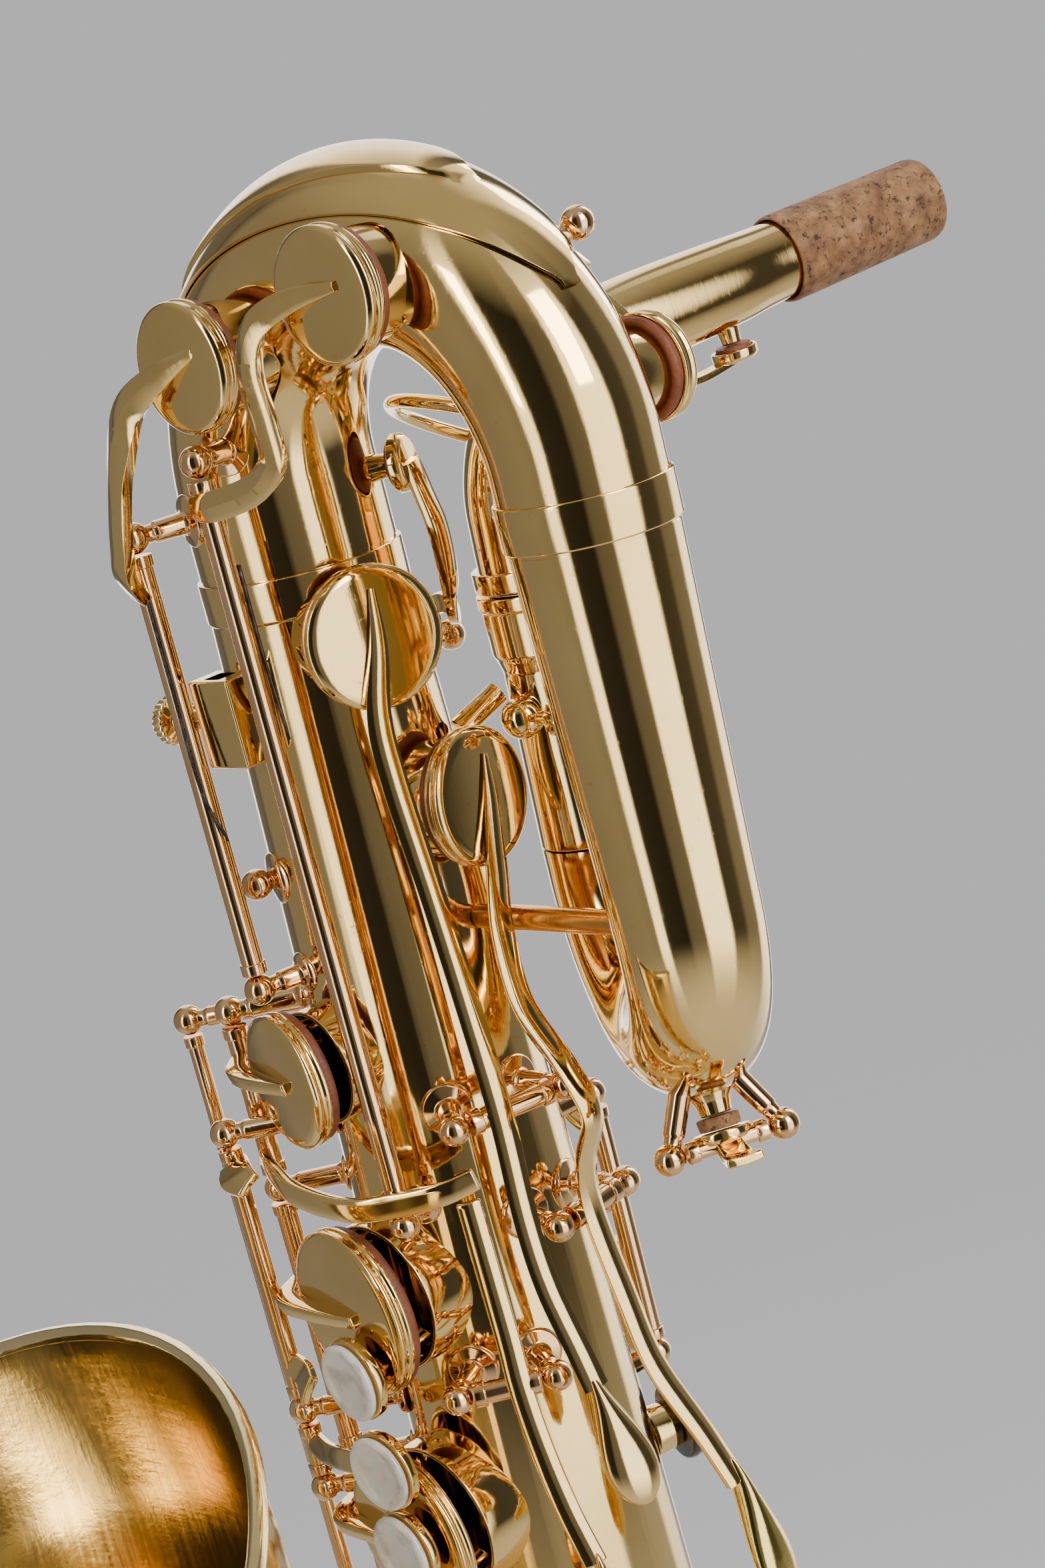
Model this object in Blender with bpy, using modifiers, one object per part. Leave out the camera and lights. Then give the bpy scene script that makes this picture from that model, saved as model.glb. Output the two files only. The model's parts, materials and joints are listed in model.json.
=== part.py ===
"""Baritone saxophone with a low A bell, built as separate tubes, cups, pads, rods and levers.

Lengths below are in millimetres from the top joint of the body tube, where the upper bow is
soldered on: x to the player's left, y towards the player, z up.  spot() turns them into metres
in the object's own frame, whose origin is the middle of the strap ring's eye.
"""

from math import cos, pi, radians, sin

import bmesh
import bpy
from mathutils import Matrix, Vector

# ---- driving dimensions, mm -------------------------------------------------------------
MM = 0.001
GAP = 0.35                      # clearance between neighbouring pieces
WALL = 0.9                      # brass tube wall

BODY_TOP_R = 21.4               # outer radius of the body tube at its top joint
TAPER = 0.0245                  # radius gained for each mm along the bore
BODY_LENGTH = 800.0
BOW_SPACING = 150.0             # body axis to bell axis
LOOP_X = 88.0                   # body axis to the front leg of the loop
LOOP_R = 17.0                   # outer radius of the loop at its top joint
LOOP_LENGTH = 78.0
LOOP_STUB = 4.0                 # straight end of the loop below the receiver
RECEIVER = (34.0, 33.0)         # axis of the narrow tube that carries the neck
RECEIVER_TOP = -17.0
NECK_SWING = radians(165)       # heading of the neck, from straight ahead of the bell
BELL_RIM_R = 86.0

RING_Z = -300.0                 # strap ring, below the top joint
RING_REACH = 12.0               # ring eye to the tube surface

CHIMNEY_H = 5.0                 # tone hole chimney, above the crest of the tube
PAD_T = 2.6
CUP_H = 6.4
CUP_LIFT = CHIMNEY_H + GAP      # underside of a closed pad
BALL_R = 3.4                    # ball on a post
ROD_R = 2.4
STRAP_T = 2.4
ROUND_STEPS = 12                # facets around cups, pads and tone holes


def body_radius(z):
    """Outer radius of the body tube z mm above its top joint (z is negative below it)."""
    return BODY_TOP_R - TAPER * z


RING_Y = body_radius(RING_Z) + RING_REACH


def spot(x, y, z):
    """A point given from the top joint, in metres in the object's frame."""
    return Vector((x, y - RING_Y, z - RING_Z)) * MM


def heading(phi):
    """Unit vector at phi degrees around the body: 0 is the bell side, 90 the player's left."""
    angle = radians(phi)
    return Vector((sin(angle), -cos(angle), 0.0))


def on_body(phi, z, height):
    """A point `height` mm off the body tube's surface."""
    out = heading(phi) * (body_radius(z) + height)
    return spot(out.x, out.y, z)


# ---- scene and materials ----------------------------------------------------------------
for old in list(bpy.data.objects):
    bpy.data.objects.remove(old, do_unlink=True)

COLLECTION = bpy.data.collections.new("baritone_saxophone")
bpy.context.scene.collection.children.link(COLLECTION)


def material(name, colour, roughness, metallic):
    made = bpy.data.materials.new(name)
    made.use_nodes = True
    shader = made.node_tree.nodes["Principled BSDF"]
    shader.inputs["Base Color"].default_value = (*colour, 1.0)
    shader.inputs["Roughness"].default_value = roughness
    shader.inputs["Metallic"].default_value = metallic
    return made


LACQUER = material("lacquered_brass", (0.72, 0.50, 0.20), 0.22, 1.0)
ROD_BRASS = material("rod_brass", (0.76, 0.52, 0.26), 0.2, 1.0)
LEATHER = material("pad_leather", (0.24, 0.10, 0.05), 0.6, 0.0)
CORK = material("cork", (0.55, 0.33, 0.20), 0.8, 0.0)
PEARL = material("mother_of_pearl", (0.85, 0.82, 0.76), 0.25, 0.0)
BLACK = material("black_plastic", (0.02, 0.02, 0.02), 0.4, 0.0)


# ---- modelling helpers ------------------------------------------------------------------
def link(name, data):
    made = bpy.data.objects.new(name, data)
    COLLECTION.objects.link(made)
    return made


def bake(item):
    """Turn an object with modifiers or a curve into a plain mesh in the object's frame."""
    bpy.context.view_layer.update()
    graph = bpy.context.evaluated_depsgraph_get()
    mesh = bpy.data.meshes.new_from_object(item.evaluated_get(graph))
    mesh.transform(item.matrix_world)
    grid = bmesh.new()
    grid.from_mesh(mesh)
    bmesh.ops.remove_doubles(grid, verts=grid.verts, dist=0.002 * MM)
    bmesh.ops.dissolve_degenerate(grid, edges=grid.edges, dist=0.002 * MM)
    grid.to_mesh(mesh)
    grid.free()
    name = item.name
    bpy.data.objects.remove(item, do_unlink=True)
    return link(name, mesh)


def facing(direction, side=None):
    """Rotation whose Z points along direction and whose X lies near side."""
    z_axis = direction.normalized()
    hint = Vector(side) if side is not None else Vector((0.0, 0.0, 1.0))
    if abs(hint.normalized().dot(z_axis)) > 0.99:
        hint = Vector((1.0, 0.0, 0.0))
    x_axis = (hint - z_axis * hint.dot(z_axis)).normalized()
    y_axis = z_axis.cross(x_axis)
    return Matrix((x_axis, y_axis, z_axis)).transposed()


def turned(profile, at, direction, steps=16, closed=False):
    """A Screw of (radius, height) points in mm, listed down the outer side."""
    grid = bmesh.new()
    points = [grid.verts.new((r * MM, 0.0, h * MM)) for r, h in profile]
    for first, second in zip(points, points[1:]):
        grid.edges.new((first, second))
    if closed:
        grid.edges.new((points[-1], points[0]))
    mesh = bpy.data.meshes.new("turned")
    grid.to_mesh(mesh)
    grid.free()
    item = link("turned", mesh)
    item.matrix_world = Matrix.Translation(at) @ facing(direction).to_4x4()
    screw = item.modifiers.new("turn", "SCREW")
    screw.steps = steps
    screw.render_steps = steps
    screw.use_merge_vertices = True
    screw.merge_threshold = 0.00001
    return bake(item)


def cylinder(start, end, radius, sides=8):
    """A rod between two points given in metres; its radius is in mm."""
    run = end - start
    grid = bmesh.new()
    bmesh.ops.create_cone(grid, cap_ends=True, segments=sides, radius1=radius * MM,
                          radius2=radius * MM, depth=run.length)
    mesh = bpy.data.meshes.new("rod")
    grid.to_mesh(mesh)
    grid.free()
    item = link("rod", mesh)
    item.matrix_world = Matrix.Translation((start + end) / 2) @ facing(run).to_4x4()
    return bake(item)


def ball(centre, radius, segments=12):
    grid = bmesh.new()
    bmesh.ops.create_uvsphere(grid, u_segments=segments, v_segments=segments // 2 + 2,
                              radius=radius * MM)
    mesh = bpy.data.meshes.new("ball")
    grid.to_mesh(mesh)
    grid.free()
    item = link("ball", mesh)
    item.location = centre
    return bake(item)


def box(centre, size, direction=Vector((0.0, 0.0, 1.0)), side=None):
    """A block; size is in mm along side, across it, and along direction."""
    grid = bmesh.new()
    bmesh.ops.create_cube(grid, size=1.0)
    bmesh.ops.scale(grid, verts=grid.verts, vec=Vector(size) * MM)
    mesh = bpy.data.meshes.new("block")
    grid.to_mesh(mesh)
    grid.free()
    item = link("block", mesh)
    item.matrix_world = Matrix.Translation(centre) @ facing(direction, side).to_4x4()
    return bake(item)


def ring(centre, axis, radius, thickness, steps=16, sides=6):
    """A closed round ring; its radii in mm."""
    profile = []
    for step in range(sides):
        angle = -2 * pi * step / sides
        profile.append((radius + thickness * cos(angle), thickness * sin(angle)))
    return turned(profile, centre, axis, steps, closed=True)


def tube(path, radii, sides=16, wall=0.0):
    """A bevelled curve through path, hollow when it has a wall; radii in mm."""
    curve = bpy.data.curves.new("tube", "CURVE")
    curve.dimensions = "3D"
    curve.bevel_depth = MM
    curve.bevel_resolution = (sides - 4) // 2
    curve.use_fill_caps = wall == 0.0
    line = curve.splines.new("POLY")
    line.points.add(len(path) - 1)
    for point, place, radius in zip(line.points, path, radii):
        point.co = (*place, 1.0)
        point.radius = radius
    item = bake(link("tube", curve))
    if wall == 0.0:
        return item
    shell = item.modifiers.new("wall", "SOLIDIFY")
    shell.thickness = wall * MM
    shell.offset = -1.0
    shell.use_even_offset = True
    return bake(item)


def smooth(points, count):
    """Catmull-Rom points through the given ones, `count` for each stretch."""
    padded = [points[0] * 2 - points[1], *points, points[-1] * 2 - points[-2]]
    out = []
    for a, b, c, d in zip(padded, padded[1:], padded[2:], padded[3:]):
        for step in range(count):
            t = step / count
            out.append(0.5 * (2 * b + (c - a) * t + (2 * a - 5 * b + 4 * c - d) * t * t
                              + (3 * b - a - 3 * c + d) * t ** 3))
    out.append(points[-1].copy())
    return out


def strap(points, normals, widths, thickness=STRAP_T, count=2):
    """A flat bar along points whose broad face looks along normals."""
    path = smooth(points, count)
    faces = smooth(normals, count)
    spans = smooth([Vector((w, 0.0, 0.0)) for w in widths], count)
    grid = bmesh.new()
    bmesh.ops.create_grid(grid, x_segments=len(path) - 1, y_segments=1, size=1.0)
    last = len(path) - 1
    for vertex in grid.verts:
        index = round((vertex.co.x + 1.0) * last / 2.0)
        run = path[min(index + 1, last)] - path[max(index - 1, 0)]
        across = faces[index].cross(run).normalized()
        half = spans[index].x * MM / 2.0
        vertex.co = path[index] + across * (half if vertex.co.y > 0.0 else -half)
    mesh = bpy.data.meshes.new("strap")
    grid.to_mesh(mesh)
    grid.free()
    item = link("strap", mesh)
    shell = item.modifiers.new("thickness", "SOLIDIFY")
    shell.thickness = thickness * MM
    shell.offset = 0.0
    return bake(item)


def teardrop(centre, along, up, length, width, thickness):
    """A smooth finger touch, pointed at its start and round at its end."""
    grid = bmesh.new()
    bmesh.ops.create_uvsphere(grid, u_segments=10, v_segments=6, radius=1.0)
    for vertex in grid.verts:
        place = vertex.co
        swell = 0.62 + 0.38 * sin(pi / 2 * place.z)
        vertex.co = Vector((place.x * width * swell, place.y * thickness, place.z * length)) * MM / 2
    mesh = bpy.data.meshes.new("touch")
    grid.to_mesh(mesh)
    grid.free()
    item = link("touch", mesh)
    side = up.cross(along)
    item.matrix_world = Matrix.Translation(centre) @ facing(along, side).to_4x4()
    return bake(item)


def post(foot, centre, flange=True):
    """A turned post from a foot point on the tube to the middle of its ball."""
    run = centre - foot
    height = run.length / MM
    profile = [(0.0, height + BALL_R), (BALL_R * 0.8, height + BALL_R * 0.6),
               (BALL_R, height - BALL_R * 0.2), (1.9, height - BALL_R)]
    profile += [(2.3, 1.2), (5.0, 1.0), (5.0, -1.2)] if flange else [(2.3, -1.2)]
    profile.append((0.0, -1.2))
    return turned(profile, foot, run, steps=6)


def key_cup(at, out, radius):
    """A pad cup, hollow below, its underside at the given point."""
    profile = [(0.0, CUP_H + 0.5), (radius - 1.0, CUP_H), (radius, CUP_H - 1.2), (radius, 1.2),
               (radius - 0.9, 1.2), (radius - 0.9, PAD_T + 2 * GAP), (0.0, PAD_T + 2 * GAP)]
    return turned(profile, at, out, ROUND_STEPS)


def pad(at, out, radius):
    """The leather pad inside a cup."""
    edge = radius - 0.9 - GAP
    profile = [(0.0, PAD_T), (edge, PAD_T), (edge, 0.0), (0.0, 0.0)]
    return turned(profile, at, out, ROUND_STEPS)


def join(items):
    """One object from several that don't touch each other."""
    grid = bmesh.new()
    for item in items:
        grid.from_mesh(item.data)
    mesh = bpy.data.meshes.new("joined")
    grid.to_mesh(mesh)
    grid.free()
    for item in items:
        bpy.data.objects.remove(item, do_unlink=True)
    return link("joined", mesh)


def combine(base, other, operation):
    cut = base.modifiers.new("cut", "BOOLEAN")
    cut.operation = operation
    cut.solver = "EXACT"
    cut.object = other
    done = bake(base)
    bpy.data.objects.remove(other, do_unlink=True)
    return done


def merge_flat(item):
    """Dissolve the edges a boolean leaves inside flat faces."""
    grid = bmesh.new()
    grid.from_mesh(item.data)
    bmesh.ops.dissolve_limit(grid, angle_limit=radians(0.2), verts=grid.verts, edges=grid.edges)
    bmesh.ops.triangulate(grid, faces=grid.faces)
    grid.to_mesh(item.data)
    grid.free()


def node(name, pieces, finish, pivot=None):
    """Weld pieces into one named solid whose origin is its joint's axis."""
    solid = pieces[0]
    for piece in pieces[1:]:
        solid = combine(solid, piece, "UNION")
    merge_flat(solid)
    origin = pivot if pivot is not None else Vector((0.0, 0.0, 0.0))
    solid.data.transform(Matrix.Translation(-origin))
    solid.location = origin
    solid.name = name
    solid.data.name = name
    solid.data.materials.clear()
    solid.data.materials.append(finish)
    return solid


def arc(centre, start, finish, turn, count):
    """Points of a circular arc from start to finish; turn is the direction it sets off in."""
    first = start - centre
    reach = turn.normalized() * first.length
    sweep = first.angle(finish - centre)
    if abs(sweep - pi) < 0.01:
        sweep = pi
    return [centre + first * cos(sweep * i / count) + reach * sin(sweep * i / count)
            for i in range(count + 1)]


def around(pivot, axis, angle):
    return (Matrix.Translation(pivot) @ Matrix.Rotation(radians(angle), 4, axis)
            @ Matrix.Translation(-pivot))


# ---- where the tubes run ------------------------------------------------------------------
UP = Vector((0.0, 0.0, 1.0))
FRONT = Vector((0.0, -1.0, 0.0))
BOW_RISE = 16.0                 # straight part of the upper bow above the joints
BOW_R = LOOP_X / 2
NECK_OUT = Vector((sin(NECK_SWING), -cos(NECK_SWING), 0.0))
RIM_CENTRE = (-3.0, -167.0, -179.0)
BELL_FOOT = -BODY_LENGTH
# (height, outer radius) up the bell, then its flare
BELL_SHAPE = [(BELL_FOOT + GAP, 46.8), (-700.0, 49.2), (-600.0, 51.7), (-480.0, 54.6),
              (-360.0, 57.6), (-290.0, 60.0), (-250.0, 63.0), (-224.0, 67.0), (-206.0, 72.5),
              (-192.0, 79.0), (-179.0, BELL_RIM_R)]
BELL_BEND_Z = -300.0            # the bell leans forward above this height


def neck_point(reach, z):
    """A point of the neck, `reach` mm out from the receiver's axis."""
    return spot(RECEIVER[0] + NECK_OUT.x * reach, RECEIVER[1] + NECK_OUT.y * reach, z)


def bow_point(angle):
    """Centre line of the upper bow, from 0 above the body to 180 above the loop."""
    turn = radians(angle)
    return spot(BOW_R * (1 - cos(turn)), 0.0, BOW_RISE + BOW_R * sin(turn))


def bow_radius(angle):
    return BODY_TOP_R + (LOOP_R - BODY_TOP_R) * angle / 180.0


def bow_surface(angle, out, height):
    return bow_point(angle) + out * (bow_radius(angle) + height) * MM


def bow_crest(name, height):
    """A point off the bow where one of its keys sits."""
    x, z, out, _ = BOW_HOLES[name]
    radius = bow_radius(180.0 * x / LOOP_X)
    return spot(x, 0.0, z) + out * (radius + height) * MM


def leg_point(phi, z, height):
    """A point off the straight part of the upper bow, above the body."""
    out = heading(phi) * (BODY_TOP_R + height)
    return spot(out.x, out.y, z)


def bell_centre(z):
    """Axis of the bell, leaning forward in its upper part."""
    share = max(0.0, (z - BELL_BEND_Z) / (RIM_CENTRE[2] - BELL_BEND_Z))
    return spot(RIM_CENTRE[0] * share, -BOW_SPACING + (RIM_CENTRE[1] + BOW_SPACING) * share ** 4, z)


def bell_radius(z):
    for (low, first), (high, second) in zip(BELL_SHAPE, BELL_SHAPE[1:]):
        if z <= high:
            return first + (second - first) * (z - low) / (high - low)
    return BELL_RIM_R


def on_bell(phi, z, height):
    return bell_centre(z) + heading(phi) * (bell_radius(z) + height) * MM


# ---- where the keys are -------------------------------------------------------------------
# tone holes on the body tube: degrees around it, z, cup radius
BODY_HOLES = {
    "palm_f_key": (70.5, -15.5, 15.0),
    "palm_e_flat_key": (97.0, -55.0, 14.8),
    "c_key": (-7.0, -105.5, 15.2),
    "b_key": (-2.0, -159.0, 19.4),
    "a_key": (-2.0, -213.0, 20.0),
    "g_key": (-2.0, -266.0, 20.4),
    "g_sharp_key": (66.0, -300.0, 19.0),
    "f_key": (0.0, -345.0, 23.5),
    "e_key": (0.0, -403.0, 25.0),
    "d_key": (0.0, -466.0, 27.0),
    "side_c_key": (-110.0, -150.0, 15.0),
    "side_b_flat_key": (-110.0, -205.0, 16.0),
    "low_e_flat_key": (48.0, -545.0, 27.0),
    "low_c_key": (0.0, -640.0, 30.0),
}
BELL_HOLES = {
    "low_b_key": (-90.0, -610.0, 31.0),
    "low_b_flat_key": (-90.0, -525.0, 32.0),
    "low_a_key": (0.0, -700.0, 34.0),
}
BOW_HOLES = {                   # x, z, side of the bow, cup radius
    "high_e_key": (18.2, 46.6, FRONT, 13.4),
    "high_f_sharp_key": (62.5, 55.6, FRONT, 13.4),
    "back_f_key": (87.0, 26.0, -FRONT, 11.0),
}

# upright hinge rods beside the body: heading, distance from its axis
STACK_LINE = (-48.0, 41.0)
FRONT_F_LINE = (-41.0, 48.5)
SIDE_LINE = (-55.2, 52.4)
LOWER_LINE = (-44.0, 49.0)
HIGH_E_LINE = (-17.0, 34.3)
HIGH_F_SHARP_LINE = (26.0, 35.0)
OCTAVE_LINE = (171.5, 38.3)
G_SHARP_LINE = (34.0, 46.0)
SIDE_KEY_LINE = (-152.0, 38.5)
LOW_LINE = (92.0, 50.5)

# posts on those lines: line, z, degrees where the foot stands
LINE_POSTS = [
    (STACK_LINE, -94.5, -48.0), (STACK_LINE, -137.0, -48.0), (STACK_LINE, -205.0, -48.0),
    (STACK_LINE, -240.0, -48.0), (STACK_LINE, -292.0, -48.0),
    (FRONT_F_LINE, -120.0, -29.0), (FRONT_F_LINE, -188.0, -30.0), (FRONT_F_LINE, -207.5, -30.0),
    (SIDE_LINE, -96.5, -55.2), (SIDE_LINE, -432.0, -62.0),
    (LOWER_LINE, -316.0, -44.0), (LOWER_LINE, -372.0, -44.0), (LOWER_LINE, -434.0, -44.0),
    (LOWER_LINE, -498.0, -44.0), (LOWER_LINE, -600.0, -44.0), (LOWER_LINE, -680.0, -44.0),
    (HIGH_E_LINE, -86.0, -17.0), (HIGH_F_SHARP_LINE, -139.0, 26.0),
    (OCTAVE_LINE, -139.5, 171.5), (OCTAVE_LINE, -205.5, 171.5),
    (G_SHARP_LINE, -272.0, 34.0), (G_SHARP_LINE, -326.0, 34.0),
    (SIDE_KEY_LINE, -130.0, -152.0), (SIDE_KEY_LINE, -178.0, -152.0),
    (SIDE_KEY_LINE, -228.0, -152.0),
    (LOW_LINE, -510.0, 92.0), (LOW_LINE, -580.0, 92.0),
]
# cross rods of the palm keys: z, from and to degrees, height of their balls
PALM_RODS = {
    "palm_f_key": (-119.0, 51.7, 93.0, 14.0),
    "palm_e_flat_key": (-147.0, 76.4, 110.0, 14.0),
    "palm_d_key": (-178.0, 31.0, 63.0, 14.0),
}
GUARD = (18.0, 150.0, 62.0)     # along the bow, from and to, and half its spread, degrees
RIDGE = (28.0, 122.0, 40.0)     # the same for the leaf raised on it
GUARD_LIFT = 1.3
BACK_PIVOT = (150.0, Vector((-0.5, 0.866, 0.0)))    # degrees along the bow, and outward
STUD = (136.0, Vector((0.42, 0.8, 0.43)))
OCTAVE_PIP = (118.0, 15.0)      # on the upper bow's leg
OCTAVE_PIVOT = (-28.0, 174.0, 203.0, 11.0)
THUMB_REST = (160.0, -220.0)
LYRE_PHI = -1.0
BRACE_Y = 3.8
BRACE_Z = -82.0
BELL_BRACE_Z = -304.0


def on_line(line, z):
    """A point on an upright hinge rod."""
    out = heading(line[0]) * line[1]
    return spot(out.x, out.y, z)


# ---- tubes --------------------------------------------------------------------------------
def with_holes(shell, holes):
    """Add chimneys and bore them; holes are (crest, outward, cup radius, tube radius)."""
    plugs = []
    bores = []
    for crest, out, radius, tube_radius in holes:
        outer = radius - 2.3
        depth = tube_radius - (tube_radius ** 2 - outer ** 2) ** 0.5 + 1.6
        plugs.append(cylinder(crest - out * depth * MM, crest + out * CHIMNEY_H * MM, outer,
                              ROUND_STEPS))
        bores.append(cylinder(crest - out * (depth + 2.0) * MM, crest + out * 8.0 * MM,
                              outer - 0.9, ROUND_STEPS))
    shell = combine(shell, join(plugs), "UNION")
    return combine(shell, join(bores), "DIFFERENCE")


def build_body():
    top = body_radius(0.0)
    end = body_radius(-BODY_LENGTH)
    joint_z = -BODY_LENGTH + 14.0
    profile = [(top + 0.8, -GAP), (top + 0.8, -9.0), (body_radius(-9.0), -9.4),
               (body_radius(-400.0), -400.0), (body_radius(joint_z), joint_z),
               (end + 1.4, joint_z - 1.0), (end + 1.4, -BODY_LENGTH + GAP),
               (end - WALL, -BODY_LENGTH + GAP), (top - WALL, -GAP)]
    shell = turned(profile, spot(0.0, 0.0, 0.0), UP, 22, closed=True)
    holes = [(on_body(phi, z, 0.0), heading(phi), radius, body_radius(z))
             for phi, z, radius in BODY_HOLES.values()]
    shell = with_holes(shell, holes)
    stands = [post(on_body(foot, z, 0.0), on_line(line, z), False)
              for line, z, foot in LINE_POSTS]
    for z, start, end_phi, height in [*PALM_RODS.values(), OCTAVE_PIVOT]:
        for phi in (start, end_phi):
            stands.append(post(on_body(phi, z, 0.0), on_body(phi, z, height)))
    stands.append(post(on_body(-24.0, -65.0, 0.0), on_body(-24.0, -65.0, 4.6)))
    rest = turned([(0.0, 7.0), (5.5, 7.0), (6.0, 0.5), (7.5, -0.5), (0.0, -1.5)],
                  on_body(*THUMB_REST, 0.0), heading(THUMB_REST[0]))
    for stand in [*stands, rest]:
        shell = combine(shell, stand, "UNION")
    return node("body_tube", [shell], LACQUER)


def build_upper_bow():
    path = [spot(0.0, 0.0, GAP), spot(0.0, 0.0, BOW_RISE / 2)]
    radii = [BODY_TOP_R, BODY_TOP_R]
    for step in range(10):
        path.append(bow_point(step * 20.0))
        radii.append(bow_radius(step * 20.0))
    path += [spot(LOOP_X, 0.0, BOW_RISE / 2), spot(LOOP_X, 0.0, GAP)]
    radii += [LOOP_R, LOOP_R]
    shell = tube(path, radii, 18, WALL)
    band = turned([(LOOP_R + 0.8, 9.6), (LOOP_R + 0.8, GAP), (LOOP_R - 0.5, GAP),
                   (LOOP_R - 0.5, 9.6)], spot(LOOP_X, 0.0, 0.0), UP, 18, closed=True)
    shell = combine(shell, band, "UNION")
    holes = [(bow_crest(name, 0.0), hole[2], hole[3], LOOP_R) for name, hole in BOW_HOLES.items()]
    shell = with_holes(shell, holes)
    stands = [
        post(leg_point(26.0, 27.5, -0.8), on_line(HIGH_F_SHARP_LINE, 28.0)),
        post(leg_point(-17.0, 14.0, 0.0), on_line(HIGH_E_LINE, 14.0)),
        post(bow_surface(*BACK_PIVOT, -0.5), bow_surface(*BACK_PIVOT, 9.0)),
        post(bow_surface(*STUD, -0.5), bow_surface(*STUD, 4.5), False),
        turned([(0.0, 4.0), (2.4, 4.0), (3.0, -0.8), (0.0, -0.8)],
               leg_point(*OCTAVE_PIP, 0.0), heading(OCTAVE_PIP[0]), 12),
    ]
    for stand in stands:
        shell = combine(shell, stand, "UNION")
    return node("upper_bow", [shell], LACQUER)


def build_bow_guard():
    """One leaf-shaped plate over the outside of the bow with a narrower leaf raised on it."""
    rows = 12
    grid = bmesh.new()
    bmesh.ops.create_grid(grid, x_segments=rows, y_segments=6, size=1.0)
    for vertex in grid.verts:
        share = (vertex.co.x + 1.0) / 2.0
        column = round((vertex.co.y + 1.0) * 3.0)
        angle = GUARD[0] + (GUARD[1] - GUARD[0]) * share
        inner_share = (angle - RIDGE[0]) / (RIDGE[1] - RIDGE[0])
        raised = 0.0 < inner_share < 1.0
        width = GUARD[2] * max(sin(pi * share), 0.04) ** 0.7
        inner = RIDGE[2] * sin(pi * inner_share) ** 0.7 if raised else 0.4
        spread = (-width, -inner - 2.0, -inner, 0.0, inner, inner + 2.0, width)[column]
        spread = max(-width, min(width, spread))
        if abs(spread) == width and column not in (0, 6):
            spread *= 0.9 if column in (1, 5) else 0.8
        lift = GUARD_LIFT + (0.8 if raised and column in (2, 3, 4) else 0.0)
        turn = radians(angle)
        outward = Vector((-cos(turn), 0.0, sin(turn)))
        out = outward * cos(radians(spread)) + FRONT * sin(radians(spread))
        vertex.co = bow_surface(angle, out, lift)
    mesh = bpy.data.meshes.new("guard")
    grid.to_mesh(mesh)
    grid.free()
    item = link("guard", mesh)
    shell = item.modifiers.new("thickness", "SOLIDIFY")
    shell.thickness = 0.8 * MM
    shell.offset = 0.0
    node("bow_guard", [bake(item)], LACQUER)


def build_loop():
    """The loop: down from the upper bow, round, and up to the receiver's foot."""
    foot = LOOP_R - TAPER * LOOP_LENGTH
    start = spot(LOOP_X, 0.0, -LOOP_LENGTH)
    end = spot(*RECEIVER, -LOOP_LENGTH)
    turn = arc((start + end) / 2, start, end, -UP, 10)
    reach = (end - start).length / MM
    taper = TAPER * pi / 2 * reach / 10
    path = [spot(LOOP_X, 0.0, -GAP), *turn, end + UP * LOOP_STUB * MM]
    radii = [LOOP_R, *[foot - taper * i for i in range(11)], foot - taper * 10]
    bow = tube(path, radii, 18, WALL)
    low = turn[4]
    nipple_out = (low - (start + end) / 2).normalized()
    nipple_at = low + nipple_out * (foot - 4 * taper) * MM
    nipple = turned([(3.4, 4.2), (3.8, 1.5), (5.0, -1.2), (1.6, -3.0), (1.6, 4.2)],
                    nipple_at, nipple_out, 12, closed=True)
    bow = combine(bow, nipple, "UNION")
    back = (end - start).normalized()
    across = nipple_out.cross(back).normalized()
    for side in (-1.0, 1.0):
        centre = nipple_at + (nipple_out * 9.5 + across * side * 12.5 - back * 2.0) * MM
        foot_at = low + (centre - low).normalized() * 12.0 * MM
        bow = combine(bow, post(foot_at, centre), "UNION")
    node("loop_tube", [bow], LACQUER)
    return nipple_at, nipple_out, across, back, foot - 10 * taper


def build_receiver(foot):
    x, y = RECEIVER
    top = RECEIVER_TOP - GAP
    narrow = foot - TAPER * (LOOP_LENGTH + RECEIVER_TOP)
    profile = [(13.2, top), (13.2, top - 3.0), (12.7, top - 3.5), (12.7, top - 13.0),
               (12.2, top - 14.0), (narrow + 0.2, top - 17.0), (foot, LOOP_STUB - LOOP_LENGTH + GAP),
               (foot - WALL, LOOP_STUB - LOOP_LENGTH + GAP), (narrow - 1.2, top - 17.0),
               (narrow - 1.2, top)]
    tube_piece = turned(profile, spot(x, y, 0.0), UP, 18, closed=True)
    out = heading(-3.0)
    lug_z = top - 26.0
    lug_at = spot(x + out.x * 12.8, y + out.y * 12.8, lug_z)
    stem = cylinder(spot(x + out.x * 9.9, y + out.y * 9.9, lug_z), lug_at, 2.6)
    piece = node("receiver_tube", [tube_piece, ball(lug_at, 5.2, 10), stem], LACQUER)
    run = UP.cross(out).normalized()
    shaft = lug_at + run * (5.2 + GAP) * MM
    screw = turned([(0.0, 9.0), (3.4, 8.4), (3.8, 7.0), (3.8, 5.0), (1.6, 4.4), (1.6, 0.0),
                    (0.0, 0.0)], shaft, run, 14)
    node("receiver_screw", [screw], LACQUER, shaft)
    HINGES["receiver_screw"] = (shaft, run, 0.0)
    return piece


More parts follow.
